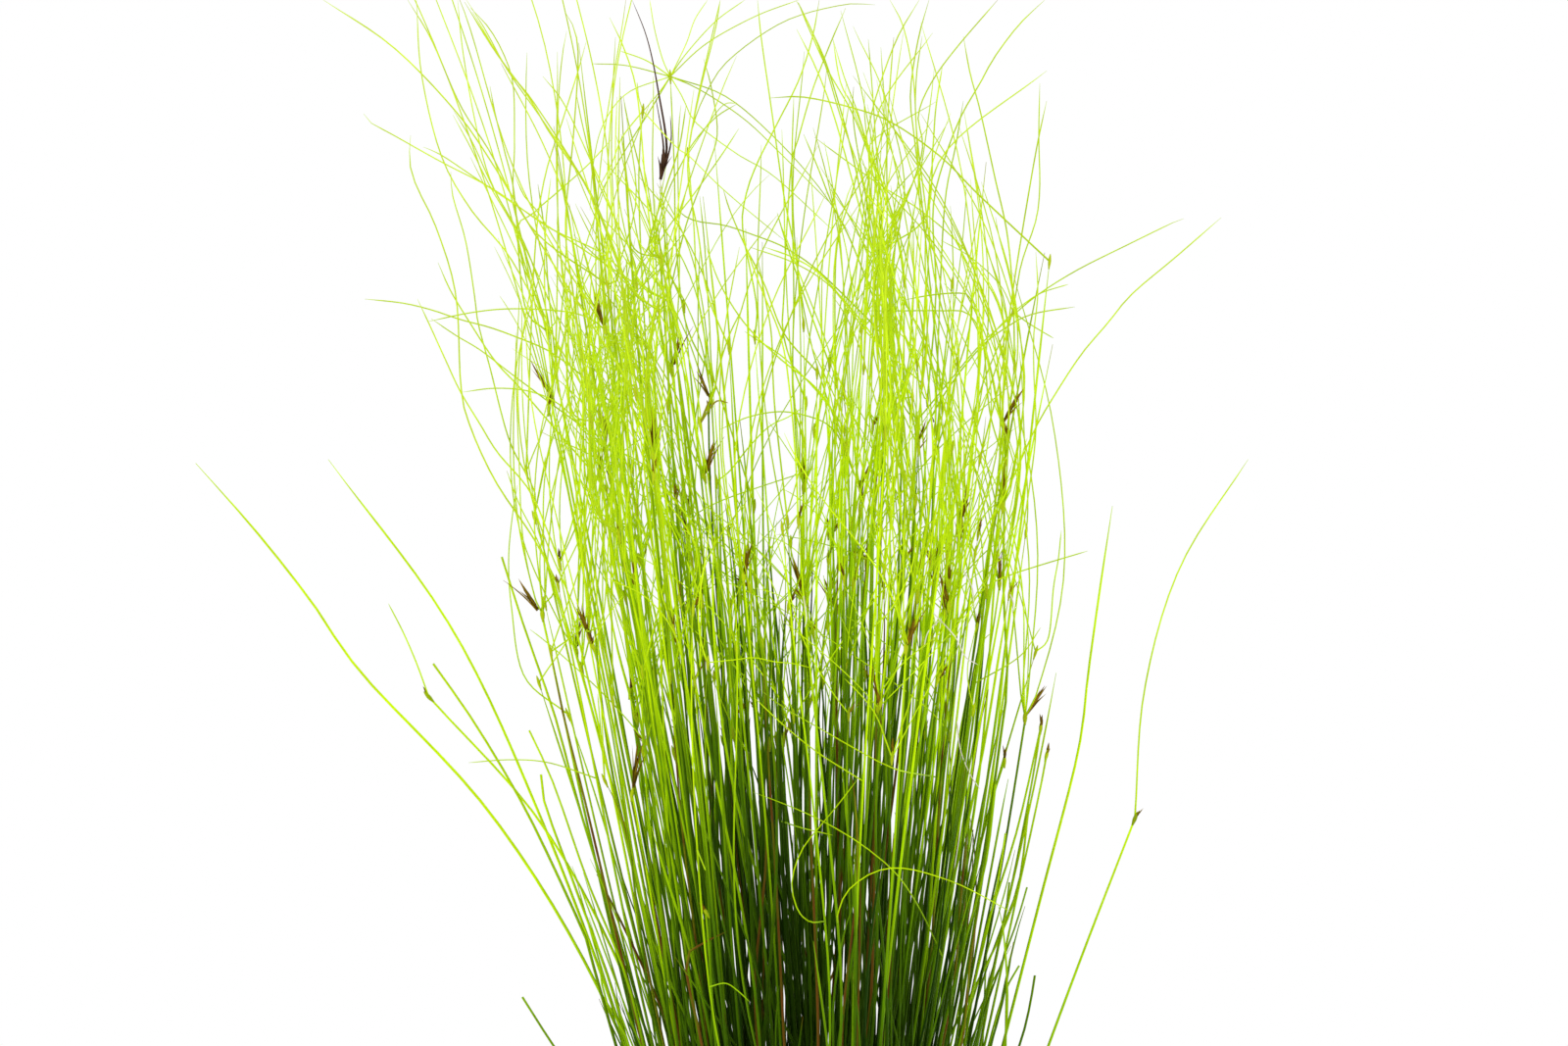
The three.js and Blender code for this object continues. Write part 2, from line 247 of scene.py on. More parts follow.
def part_of(path, start, stop, count):
    """The stretch of a path between two shares of its length."""
    at = np.linspace(start, stop, count) * (len(path) - 1)
    return np.stack([np.interp(at, range(len(path)), path[:, k]) for k in range(3)], axis=1)


def path_length(path):
    return np.linalg.norm(np.diff(path, axis=0), axis=1).sum()


def unit(vector):
    """The same direction with a length of 1."""
    return vector / np.linalg.norm(vector)


def eased(x):
    """0 to 1 with a gentle start and end."""
    x = np.clip(x, 0, 1)
    return x * x * (3 - 2 * x)


CULM_POINTS, RAY_POINTS = 28, 18
TILLERS = range(1, 26)
STRAYS = range(1, 7)
culm_paths, ray_paths, spikelet_axes = {}, {}, {}
for k in TILLERS:
    lines = middle_lines(f"tiller_{k:02d}", flat_top=True)
    culm_paths[k] = [smooth_path(line, CULM_POINTS) for line in lines]
    lines = sorted(middle_lines(f"umbel_{k:02d}"), key=path_length)
    spikelet_axes[k] = lines[0]
    ray_paths[k] = [smooth_path(line, RAY_POINTS) for line in lines[1:]]
stray_lines = {k: middle_lines(f"stray_culm_{k:02d}")[0] for k in STRAYS}
print("Read", sum(map(len, culm_paths.values())), "culms,", sum(map(len, ray_paths.values())), "rays")

# %% [markdown]
# ## Stems as tubes
# A stem is a tube that follows a path, with a width for each point. Blender's curves with a bevel would do
# the same, but they can't carry the numbers that the materials need: how far along the stem a point is, the
# stem's own tone, and how dry it is. So the tubes are written as mesh, all the stems of one tiller in one
# piece. The same helper makes sheaths and scales, as wide tubes and as flat, cupped ones.

# %% The sheaf, a mesh of many tubes
ALONG, TONE, RIPE = "along", "tone", "ripe"
STRIP_MARGIN = 0.05
# The side from which a ring's corners are counted. No stem runs along it.
FIRST_SIDE = (0.31, -0.95, 0.05)


def ring_axes(path, facing=None):
    """Two directions across the path at each of its points, carried along without twist."""
    tangents = np.gradient(path, axis=0)
    tangents /= np.linalg.norm(tangents, axis=1)[:, None]
    side = np.array(facing if facing is not None else FIRST_SIDE, float)
    sides = []
    for tangent in tangents:
        side = side - tangent * side.dot(tangent)
        side /= np.linalg.norm(side)
        sides.append(side)
    sides = np.array(sides)
    return sides, np.cross(tangents, sides), tangents


class Sheaf:
    """Tubes that will be one mesh, with what the materials read from them."""

    def __init__(self):
        self.points, self.faces, self.slots = [], [], []
        self.strip_maps, self.stem_maps, self.marks = [], [], []
        self.count = self.strips = self.triangles = 0

    def tube(self, path, widths, sides=8, tone=0.5, ripe=0.0, slot=0, ribs=0.0,
             flat=1.0, facing=None, cup=0.0, slant=0.0):
        """Adds a closed tube. Widths are radii, flat squeezes it, and cup bends it into a gutter."""
        across, out, forward = ring_axes(path, facing)
        turn = np.arange(sides) / sides * 2 * math.pi
        radii = np.broadcast_to(np.asarray(widths, float), (len(path),))[:, None, None]
        rib = (1 - ribs * (np.arange(sides) % 2))[None, :, None]
        side_part = np.cos(turn)[None, :, None]
        out_part = np.sin(turn)[None, :, None] * flat - cup * (side_part**2)
        rings = path[:, None] + radii * rib * (side_part * across[:, None] + out_part * out[:, None])
        rings[-1] += slant * np.cos(turn)[:, None] * forward[-1]
        self.skin(rings, path[0], path[-1], tone, ripe, slot)

    def skin(self, rings, foot_point, tip_point, tone=0.5, ripe=0.0, slot=0):
        """Adds a closed skin of rings, with a fan of faces from a point at either end."""
        n, m = rings.shape[:2]
        grid = self.count + np.arange(n * m).reshape(n, m)
        beside = np.roll(grid, -1, 1)
        foot, tip = self.count + n * m, self.count + n * m + 1
        self.points += [rings.reshape(-1, 3), np.array([foot_point]), np.array([tip_point])]
        self.faces += np.stack([grid[:-1], beside[:-1], beside[1:], grid[1:]], 2).reshape(-1, 4).tolist()
        self.faces += [[foot, int(q), int(p)] for p, q in zip(grid[0], beside[0])]
        self.faces += [[tip, int(p), int(q)] for p, q in zip(grid[-1], beside[-1])]
        self.map_skin(rings)
        self.slots += [slot] * ((n + 1) * m)
        share = np.repeat(np.linspace(0, 1, n), m)
        dry = np.repeat(np.broadcast_to(np.asarray(ripe, float), (n,)), m)
        self.marks.append(np.stack([
            np.append(share, [0, 1]), np.full(n * m + 2, tone), np.append(dry, [dry[0], dry[-1]]),
        ], 1))
        self.count += n * m + 2
        self.triangles += 2 * n * m

    def map_skin(self, rings):
        """Two maps: a strip of its own for each skin, and millimetres round it and along it."""
        n, m = rings.shape[:2]
        i, j = (g[..., None] for g in np.meshgrid(range(n - 1), range(m), indexing="ij"))
        down = (i + np.array([0, 0, 1, 1])).reshape(-1)
        turn = (j + np.array([0, 1, 1, 0])).reshape(-1) / m
        ends = np.arange(m)
        cap_turn = [np.stack([ends + 0.5, ends + 1, ends], 1), np.stack([ends + 0.5, ends, ends + 1], 1)]
        down = np.concatenate([down, np.zeros(3 * m), np.full(3 * m, n - 1)])
        turn = np.concatenate([turn, cap_turn[0].reshape(-1) / m, cap_turn[1].reshape(-1) / m])
        within = STRIP_MARGIN + turn * (1 - 2 * STRIP_MARGIN)
        self.strip_maps.append((down / (n - 1), within, self.strips))
        radius = np.linalg.norm(rings - rings.mean(axis=1, keepdims=True), axis=2).mean()
        length = path_length(rings[:, 0])
        self.stem_maps.append(np.stack([turn * 2 * math.pi * radius, down / (n - 1) * length], 1) / MM)
        self.strips += 1

    def piece(self, name, materials, slot):
        """Turns the tubes into an object that rides on the plant's one body."""
        mesh = bpy.data.meshes.new(name)
        mesh.from_pydata(np.concatenate(self.points).tolist(), [], self.faces)
        strip = mesh.uv_layers.new(name="OFBake")
        rows = [np.stack([u, (row + v) / self.strips], 1) for u, v, row in self.strip_maps]
        strip.data.foreach_set("uv", np.concatenate(rows).astype(np.float32).reshape(-1))
        stem = mesh.uv_layers.new(name="Stem")
        stem.data.foreach_set("uv", np.concatenate(self.stem_maps).astype(np.float32).reshape(-1))
        marks = np.concatenate(self.marks)
        for column, mark in enumerate((ALONG, TONE, RIPE)):
            layer = mesh.attributes.new(mark, "FLOAT", "POINT")
            layer.data.foreach_set("value", marks[:, column].astype(np.float32))
        for material in materials:
            mesh.materials.append(material)
        mesh.polygons.foreach_set("material_index", self.slots)
        mesh.shade_smooth()
        mesh.update()
        made = bpy.data.objects.new(name, mesh)
        bpy.context.scene.collection.objects.link(made)
        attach(made, "root")
        return made


# %% [markdown]
# ## Shader groups
# A node group is a small shader machine with named inputs. Three of them serve the plant's materials: one
# mixes the living green with painted light and shade by height, one draws the fine ribs and flecks of a
# stem, and one draws dry fibre.
# Each material places them with its own values.

# %% Node helpers
def node(tree, kind, **settings):
    """Adds a node with these settings."""
    made = tree.nodes.new(kind)
    for key, value in settings.items():
        setattr(made, key, value)
    return made


def feed(tree, target, socket, source):
    """Joins an output to an input, or sets the input to a plain value."""
    if isinstance(source, bpy.types.NodeSocket):
        tree.links.new(source, target.inputs[socket])
    else:
        target.inputs[socket].default_value = source


def maths(tree, operation, first, second=0.0):
    made = node(tree, "ShaderNodeMath", operation=operation)
    feed(tree, made, 0, first)
    feed(tree, made, 1, second)
    return made.outputs[0]


# Where a Mix node keeps its colour sockets.
MIX_FIRST, MIX_SECOND, MIX_RESULT = 6, 7, 2


def mixed(tree, factor, first, second, blend="MIX"):
    made = node(tree, "ShaderNodeMix", data_type="RGBA", blend_type=blend)
    feed(tree, made, "Factor", factor)
    feed(tree, made, MIX_FIRST, first)
    feed(tree, made, MIX_SECOND, second)
    return made.outputs[MIX_RESULT]


def remap(tree, value, low, high, to_low=0.0, to_high=1.0):
    made = node(tree, "ShaderNodeMapRange")
    for socket, source in enumerate((value, low, high, to_low, to_high)):
        feed(tree, made, socket, source)
    return made.outputs[0]


def new_group(name, inputs, outputs):
    """An empty group with these sockets: (name, kind, value) for inputs, (name, kind) for outputs."""
    group = bpy.data.node_groups.new(name, "ShaderNodeTree")
    for title, kind, value in inputs:
        socket = group.interface.new_socket(title, in_out="INPUT", socket_type=kind)
        socket.default_value = value
    for title, kind in outputs:
        group.interface.new_socket(title, in_out="OUTPUT", socket_type=kind)
    return group, group.nodes.new("NodeGroupInput"), group.nodes.new("NodeGroupOutput")


FLOAT, COLOUR = "NodeSocketFloat", "NodeSocketColor"


def attribute(tree, name):
    made = node(tree, "ShaderNodeAttribute", attribute_name=name)
    return made.outputs["Fac"]


# %% [markdown]
# ## Living green, with painted light and shade
# The stems are dark bottle green at the crowded foot, grass green in the middle and lime where the light
# comes through the fine tips. A colour ramp over the height gives that: the dark foot is partly the stems'
# own deeper green and partly painted shade of the crowd, and the lime tips are partly painted glow. No two
# stems are quite alike, so each one's own tone moves it up or down the ramp, and turns a few blue-green low
# down, partly as painted shade. Stems at the sides stand in the light and stay brighter than those in the
# crowded middle; that light and shade are painted too, as is each stem's own share of light. A dry stem or
# stretch turns reddish brown.

# %% Group: living green and painted shade by height
# Stops of the height ramp: the dark low ones are partly painted shade of the crowded foot, the lime high ones
# partly painted glow.
GREEN_AND_SHADE_STOPS = [
    (0.00, (0.0058, 0.0195, 0.0005)),
    (0.26, (0.0235, 0.066, 0.0005)),
    (0.40, (0.094, 0.216, 0.001)),
    (0.51, (0.355, 0.615, 0.001)),
    (0.62, (0.625, 0.900, 0.002)),
    (0.78, (0.635, 0.890, 0.006)),
    (1.00, (0.690, 0.900, 0.030)),
]
PLANT_HEIGHT = 0.33
MIDDLE_TONE = 0.55

green, green_in, green_out = new_group(
    "Living Green And Painted Light",
    [
        ("Youth", FLOAT, 0.0),
        ("Tone Spread", FLOAT, 0.3),
        ("Light Spread", FLOAT, 0.4),
        ("Blue Share", FLOAT, 0.3),
        ("Dry Colour", COLOUR, (0.16, 0.05, 0.02, 1)),
    ],
    [("Colour", COLOUR)],
)
place = node(green, "ShaderNodeTexCoord").outputs["Object"]
split = node(green, "ShaderNodeSeparateXYZ")
feed(green, split, 0, place)
height = maths(green, "DIVIDE", split.outputs["Z"], PLANT_HEIGHT)
height = maths(green, "ADD", height, green_in.outputs["Youth"])
tone = attribute(green, TONE)
off_tone = maths(green, "SUBTRACT", tone, MIDDLE_TONE)
tone_shift = maths(green, "MULTIPLY", off_tone, green_in.outputs["Tone Spread"])
ramp = node(green, "ShaderNodeValToRGB")
stops = ramp.color_ramp.elements
for end, (stop, stop_colour) in ((0, GREEN_AND_SHADE_STOPS[0]), (1, GREEN_AND_SHADE_STOPS[-1])):
    stops[end].position, stops[end].color = stop, (*stop_colour, 1)
for stop, stop_colour in GREEN_AND_SHADE_STOPS[1:-1]:
    stops.new(stop).color = (*stop_colour, 1)
print("The ramp has", len(stops), "greens")

# %% Group: the painted light and shade that a stem stands in
# Painted shade in the crowded middle, painted light at the sides. Depth counts half, so the front stays dark.
SIDE_AND_DEPTH = (1, 0.5, 0)
FOOT_RADIUS, RADIUS_GROWTH = 0.012, 0.2
INNER, OUTER = 0.35, 1.1
INNER_SHADE_SHIFT, OUTER_LIGHT_SHIFT = -0.07, 0.13
# A tone times this, without its whole part, is a second chance number for each stem.
LIGHT_SEED = 7.13
LEAST_LIGHT, MOST_LIGHT = -1.0, 0.5
# Outer stems differ less in light from one another.
EVEN_FROM, EVEN_TO, EVENED = 0.6, 1.2, 0.45
LIGHT_TO_PLACE, LIGHT_TO_SHADE = 0.22, 0.6

from_middle = node(green, "ShaderNodeVectorMath", operation="LENGTH")
flat_place = node(green, "ShaderNodeVectorMath", operation="MULTIPLY")
feed(green, flat_place, 0, place)
feed(green, flat_place, 1, SIDE_AND_DEPTH)
feed(green, from_middle, 0, flat_place.outputs[0])
tuft_growth = maths(green, "MULTIPLY", split.outputs["Z"], RADIUS_GROWTH)
tuft_radius = maths(green, "ADD", tuft_growth, FOOT_RADIUS)
outer = maths(green, "DIVIDE", from_middle.outputs["Value"], tuft_radius)
# Painted light and shade: the middle of the tuft moves down the ramp, its sides up.
side_light_shift = remap(green, outer, INNER, OUTER, INNER_SHADE_SHIFT, OUTER_LIGHT_SHIFT)
# Painted light and shade: each stem gets its own share of light, which moves it along the ramp here.
own_light = maths(green, "FRACT", maths(green, "MULTIPLY", tone, LIGHT_SEED))
own_light = remap(green, own_light, 0.0, 1.0, LEAST_LIGHT, MOST_LIGHT)
light_change = maths(green, "MULTIPLY", own_light, green_in.outputs["Light Spread"])
evening = remap(green, outer, EVEN_FROM, EVEN_TO, 1.0, EVENED)
light_change = maths(green, "MULTIPLY", light_change, evening)
light_shift = maths(green, "MULTIPLY", light_change, LIGHT_TO_PLACE)
own_shift = maths(green, "ADD", tone_shift, light_shift)
on_ramp = maths(green, "ADD", height, own_shift)
feed(green, ramp, "Fac", maths(green, "ADD", on_ramp, side_light_shift))
print("Living Green And Painted Light so far:", len(green.nodes), "nodes")

# %% Group: blue stems, partly painted shade, flecks and dry patches
BLUE_GREEN = (0.020, 0.110, 0.018, 1)
BLUE_TONES = 0.35
# High up light comes through every stem, so there few look blue.
SHADED_TO, LIT_FROM = 0.3, 0.6
SHADED_BLUE, LIT_BLUE = 0.75, 0.1
PATCH_SCALE = 160.0

flecks = node(green, "ShaderNodeTexNoise")
feed(green, flecks, "Scale", PATCH_SCALE)
feed(green, flecks, "Detail", 3.0)
feed(green, flecks, "Vector", place)
# Painted shade: low-toned stems turn blue-green, most of all low down, where the crowd is shaded.
shaded_share = remap(green, height, SHADED_TO, LIT_FROM, SHADED_BLUE, LIT_BLUE)
bluer = maths(green, "MULTIPLY", remap(green, tone, BLUE_TONES, 0.0), green_in.outputs["Blue Share"])
bluer = maths(green, "MULTIPLY", bluer, shaded_share)
colour = mixed(green, bluer, ramp.outputs["Color"], BLUE_GREEN)
darker = remap(green, flecks.outputs["Fac"], 0.3, 0.75, 0.8, 1.1)
# Painted shade: each stem's share of light also darkens or brightens its colour, together with the flecks.
light_change = maths(green, "MULTIPLY", light_change, LIGHT_TO_SHADE)
darker = maths(green, "MULTIPLY", darker, maths(green, "ADD", light_change, 1.0))
grey = node(green, "ShaderNodeCombineColor")
for channel in range(3):
    feed(green, grey, channel, darker)
colour = mixed(green, 1.0, colour, grey.outputs[0], "MULTIPLY")
patch = remap(green, flecks.outputs["Fac"], 0.35, 0.6, 0.55, 1.0)
dry = maths(green, "MULTIPLY", attribute(green, RIPE), patch)
colour = mixed(green, dry, colour, green_in.outputs["Dry Colour"])
feed(green, green_out, "Colour", colour)
print("Living Green And Painted Light has", len(green.nodes), "nodes")

# %% [markdown]
# ## Ribs and flecks
# Seen close, a culm has faint ribs along it and tiny raised dots. Noise that is stretched along the stem
# gives the ribs, with painted shade in their grooves and painted light on their ridges. It reads the map in
# millimetres, so a thick and a thin stem have ribs of the same width.

# %% Group: ribs and flecks of a stem
ribbing, rib_in, rib_out = new_group(
    "Stem Ribs",
    [("Ribs Per Millimetre", FLOAT, 6.0), ("Stretch", FLOAT, 0.05), ("Flecks", FLOAT, 0.3)],
    [("Height", FLOAT), ("Shade", FLOAT)],
)
# Tones times this lie far apart in the noise, so each stem has ribs of its own.
RIBS_APART = 31.0
DOT_SCALE = 2600.0
stem_map = node(ribbing, "ShaderNodeUVMap", uv_map="Stem").outputs["UV"]
stem_split = node(ribbing, "ShaderNodeSeparateXYZ")
feed(ribbing, stem_split, 0, stem_map)
across = maths(ribbing, "MULTIPLY", stem_split.outputs[0], rib_in.outputs["Ribs Per Millimetre"])
lengthwise = maths(ribbing, "MULTIPLY", stem_split.outputs[1], rib_in.outputs["Stretch"])
joined = node(ribbing, "ShaderNodeCombineXYZ")
feed(ribbing, joined, 0, across)
feed(ribbing, joined, 1, lengthwise)
feed(ribbing, joined, 2, maths(ribbing, "MULTIPLY", attribute(ribbing, TONE), RIBS_APART))
streaks = node(ribbing, "ShaderNodeTexNoise")
feed(ribbing, streaks, "Vector", joined.outputs[0])
feed(ribbing, streaks, "Scale", 1.0)
feed(ribbing, streaks, "Detail", 2.0)
dots = node(ribbing, "ShaderNodeTexNoise")
feed(ribbing, dots, "Vector", node(ribbing, "ShaderNodeTexCoord").outputs["Object"])
feed(ribbing, dots, "Scale", DOT_SCALE)
fleck = maths(ribbing, "MULTIPLY", dots.outputs["Fac"], rib_in.outputs["Flecks"])
rib_height = maths(ribbing, "ADD", streaks.outputs["Fac"], fleck)
feed(ribbing, rib_out, "Height", rib_height)
feed(ribbing, rib_out, "Shade", remap(ribbing, streaks.outputs["Fac"], 0.35, 0.65))
print("Stem Ribs has", len(ribbing.nodes), "nodes")

# %% [markdown]
# ## Dry fibre
# Sheaths, spikelet scales and the rootstock are dead tissue: brown fibre that is darker in the grooves and
# paler on the ridges of its relief. One group draws it from two colours and the size of its streaks.

# %% Group: dry fibre
fibre, fibre_in, fibre_out = new_group(
    "Dry Fibre",
    [
        ("Dark", COLOUR, (0.05, 0.02, 0.01, 1)),
        ("Light", COLOUR, (0.3, 0.18, 0.07, 1)),
        ("Streaks Per Millimetre", FLOAT, 3.0),
        ("Stretch", FLOAT, 0.3),
        ("Edge Bleach", FLOAT, 0.3),
    ],
    [("Colour", COLOUR), ("Height", FLOAT)],
)
STREAKS_APART = 17.0
BLOTCH_SCALE = 420.0
STREAK_SHARE, BLOTCH_SHARE = 0.65, 0.35
fibre_split = node(fibre, "ShaderNodeSeparateXYZ")
feed(fibre, fibre_split, 0, node(fibre, "ShaderNodeUVMap", uv_map="Stem").outputs["UV"])
across = maths(fibre, "MULTIPLY", fibre_split.outputs[0], fibre_in.outputs["Streaks Per Millimetre"])
lengthwise = maths(fibre, "MULTIPLY", fibre_split.outputs[1], fibre_in.outputs["Stretch"])
fibre_join = node(fibre, "ShaderNodeCombineXYZ")
feed(fibre, fibre_join, 0, across)
feed(fibre, fibre_join, 1, lengthwise)
feed(fibre, fibre_join, 2, maths(fibre, "MULTIPLY", attribute(fibre, TONE), STREAKS_APART))
strands = node(fibre, "ShaderNodeTexNoise")
feed(fibre, strands, "Vector", fibre_join.outputs[0])
feed(fibre, strands, "Scale", 1.0)
feed(fibre, strands, "Detail", 4.0)
blotches = node(fibre, "ShaderNodeTexNoise")
feed(fibre, blotches, "Vector", node(fibre, "ShaderNodeTexCoord").outputs["Object"])
feed(fibre, blotches, "Scale", BLOTCH_SCALE)
feed(fibre, blotches, "Detail", 3.0)
streak_part = maths(fibre, "MULTIPLY", strands.outputs["Fac"], STREAK_SHARE)
blotch_part = maths(fibre, "MULTIPLY", blotches.outputs["Fac"], BLOTCH_SHARE)
grain = maths(fibre, "ADD", streak_part, blotch_part)
bleach = maths(fibre, "MULTIPLY", attribute(fibre, ALONG), fibre_in.outputs["Edge Bleach"])
lightness = maths(fibre, "ADD", remap(fibre, grain, 0.36, 0.62), bleach)
feed(fibre, fibre_out, "Colour", mixed(fibre, lightness, fibre_in.outputs["Dark"], fibre_in.outputs["Light"]))
feed(fibre, fibre_out, "Height", grain)
print("Dry Fibre has", len(fibre.nodes), "nodes")

# %% [markdown]
# ## The materials
# Each material of the plant is a Principled BSDF with one or two of the groups in front of it. The gloss of
# a living stem is faint and satin, and dry tissue is rougher. A stem's edges are paler than its middle,
# because light from behind comes through them. A lime sheen gives that.

# %% Materials from the groups
GLOSS_TINT = (0.8, 0.95, 0.4, 1)


def start_material(name, roughness, gloss):
    material = bpy.data.materials.new(name)
    material.use_nodes = True
    tree = material.node_tree
    skin = tree.nodes["Principled BSDF"]
    skin.inputs["Roughness"].default_value = roughness
    skin.inputs["Specular IOR Level"].default_value = gloss
    skin.inputs["Specular Tint"].default_value = GLOSS_TINT
    return material, tree, skin


def place_group(tree, group, **values):
    made = node(tree, "ShaderNodeGroup", node_tree=group)
    for title, value in values.items():
        made.inputs[title.replace("_", " ")].default_value = value
    return made


def add_bump(tree, skin, height, distance, strength):
    bump = node(tree, "ShaderNodeBump")
    bump.inputs["Distance"].default_value = distance
    bump.inputs["Strength"].default_value = strength
    feed(tree, bump, "Height", height)
    feed(tree, skin, "Normal", bump.outputs[0])


SHEEN_ROUGHNESS, SHEEN_TINT = 0.3, (0.5, 0.85, 0.08, 1)
# Painted shade in the rib grooves and painted light on their ridges.
GROOVE_SHADE, RIDGE_SHADE = (0.8, 0.84, 0.7, 1), (1.08, 1.06, 1.0, 1)


def stem_material(name, youth, tone_spread, light_spread, blue, dry_colour, sheen):
    material, tree, skin = start_material(name, roughness=0.5, gloss=0.04)
    living = place_group(tree, green, Youth=youth, Tone_Spread=tone_spread, Light_Spread=light_spread,
                         Blue_Share=blue, Dry_Colour=dry_colour)
    ribs = place_group(tree, ribbing)
    shaded = mixed(tree, ribs.outputs["Shade"], GROOVE_SHADE, RIDGE_SHADE)
    colour = mixed(tree, 1.0, living.outputs["Colour"], shaded, "MULTIPLY")
    feed(tree, skin, "Base Color", colour)
    skin.inputs["Sheen Weight"].default_value = sheen
    skin.inputs["Sheen Roughness"].default_value = SHEEN_ROUGHNESS
    skin.inputs["Sheen Tint"].default_value = SHEEN_TINT
    add_bump(tree, skin, ribs.outputs["Height"], distance=0.05 * MM, strength=0.6)
    return material


def dry_material(name, dark, light, streaks, stretch, bleach, relief):
    material, tree, skin = start_material(name, roughness=0.75, gloss=0.06)
    dead = place_group(tree, fibre, Dark=dark, Light=light, Streaks_Per_Millimetre=streaks,
                       Stretch=stretch, Edge_Bleach=bleach)
    feed(tree, skin, "Base Color", dead.outputs["Colour"])
    add_bump(tree, skin, dead.outputs["Height"], distance=relief, strength=0.8)
    return material


# %% Green, brown and white
culm_green = stem_material(
    "culm_green", youth=0.0, tone_spread=0.14, light_spread=0.55, blue=0.35,
    dry_colour=(0.15, 0.055, 0.009, 1), sheen=0.35)
ray_green = stem_material(
    "ray_green", youth=0.12, tone_spread=0.14, light_spread=0.36, blue=0.0,
    dry_colour=(0.26, 0.13, 0.02, 1), sheen=0.3)
sheath_brown = dry_material(
    "sheath_brown", dark=(0.055, 0.016, 0.008, 1), light=(0.22, 0.09, 0.035, 1),
    streaks=5.0, stretch=0.12, bleach=0.4, relief=0.08 * MM)
bud_brown = dry_material(
    "bud_brown", dark=(0.045, 0.02, 0.01, 1), light=(0.22, 0.11, 0.045, 1),
    streaks=2.0, stretch=0.2, bleach=0.3, relief=0.15 * MM)
scale_brown = dry_material(
    "scale_brown", dark=(0.040, 0.022, 0.002, 1), light=(0.27, 0.165, 0.007, 1),
    streaks=3.0, stretch=0.25, bleach=0.3, relief=0.08 * MM)
dead_dark = dry_material(
    "dead_dark", dark=(0.007, 0.004, 0.003, 1), light=(0.085, 0.038, 0.024, 1),
    streaks=4.0, stretch=0.2, bleach=0.6, relief=0.06 * MM)
mat_brown = dry_material(
    "mat_brown", dark=(0.022, 0.011, 0.005, 1), light=(0.17, 0.095, 0.045, 1),
    streaks=2.2, stretch=0.35, bleach=0.1, relief=0.3 * MM)
root_white = dry_material(
    "root_white", dark=(0.55, 0.50, 0.36, 1), light=(0.85, 0.82, 0.70, 1),
    streaks=3.0, stretch=0.3, bleach=0.1, relief=0.04 * MM)

floor_pale, floor_tree, floor_skin = start_material("floor_pale", roughness=0.6, gloss=0.2)
dust = node(floor_tree, "ShaderNodeTexNoise")
feed(floor_tree, dust, "Scale", 30.0)
dusty = mixed(floor_tree, dust.outputs["Fac"], (0.86, 0.86, 0.85, 1), (0.9, 0.9, 0.89, 1))
feed(floor_tree, floor_skin, "Base Color", dusty)
floor_mesh.materials.append(floor_pale)
print("Materials:", [m.name for m in bpy.data.materials if m.users])

# %% [markdown]
# ## Room for new stems
# The photograph shows hundreds of culms and rays, far more than the CAD model holds. From the front the
# tuft isn't equally thick: there is a gap between its two sprays, and few stems stand out at the sides.
# Each airy place below is a rectangle of the photograph with the share of new stems that it lets in. A new
# culm that isn't let in ends below the place, as a young one does, and a free ray isn't made.

# %% Airy places
# The left, right, top and bottom of each place in pixels, and its share.
AIRY = [
    (700, 860, -60, 300, 0.17),
    (690, 800, 300, 480, 0.03),
    (800, 830, 300, 440, 0.10),
    (440, 545, 280, 460, 0.25),
    (420, 560, 460, 700, 0.05),
    (540, 605, 540, 740, 0.02),
    (600, 650, 690, 880, 0.12),
    (440, 600, 690, 900, 0.08),
    (555, 665, -60, 250, 0.30),
    (590, 650, -60, 110, 0.10),
    (890, 945, -60, 190, 0.50),
    (945, 1045, 250, 420, 0.18),
    (940, 1000, 150, 250, 0.45),
    (1000, 1250, -60, 420, 0.10),
    (1045, 1250, 420, 860, 0.10),
    (350, 540, -60, 280, 0.35),
]
chance = random.Random(2031)
print("Airy places:", len(AIRY))


def airiest(column, row):
    """The share of new stems that may pass this pixel."""
    return min((share for left, right, top, bottom, share in AIRY
                if left < column < right and top < row < bottom), default=1.0)


def welcome(path, strictness=1):
    """Whether the photograph has room for this new stem, by every second point of its upper half."""
    share = min(airiest(c, r) for c, r in zip(*pixels_of(path[len(path) // 2::2])))
    return chance.random() < share**strictness


def trimmed(path, shortest, strictness=1):
    """The new stem if there is room for it, or else the part of it that lies below the airy place."""
    if welcome(path, strictness):
        return path
    shares = [airiest(c, r) for c, r in zip(*pixels_of(path))]
    entry = next((at for at, share in enumerate(shares) if share < 1), len(path)) / len(path)
    return part_of(path, 0, max(shortest, entry * chance.uniform(0.8, 1)), len(path))


# %% [markdown]
# ## Growing one stem
# A new culm leaves the foot of a traced one, moves over part of the way towards a neighbour, and stops
# at its own height. A slow wave keeps it from being ruler-straight. Its width tapers from the foot to a
# short sharp point. Hair particles would be quicker to make, but each stem's course is harder to set with
# them, and the finished part may hold only mesh.

# %% Growing helpers
BLEND_END = 0.7
CULM_WAVES, RAY_WAVES = (1, 1.9, 3.3), (1, 1.6)
WAVE_FADE, WAVE_FULLNESS = 1.6, 0.7


def wander(path, amount, all_waves=CULM_WAVES):
    """The path with a slow, slight wave in it, still at both ends."""
    share = np.linspace(0, 1, len(path))[:, None]
    sway = np.zeros_like(path)
    for waves in all_waves:
        heading = np.array([chance.gauss(0, 1), chance.gauss(0, 1), 0])
        sway += heading * np.sin(share * math.pi * waves + chance.uniform(0, 6)) / waves**WAVE_FADE
    return path + sway * np.sin(share * math.pi) ** WAVE_FULLNESS * amount


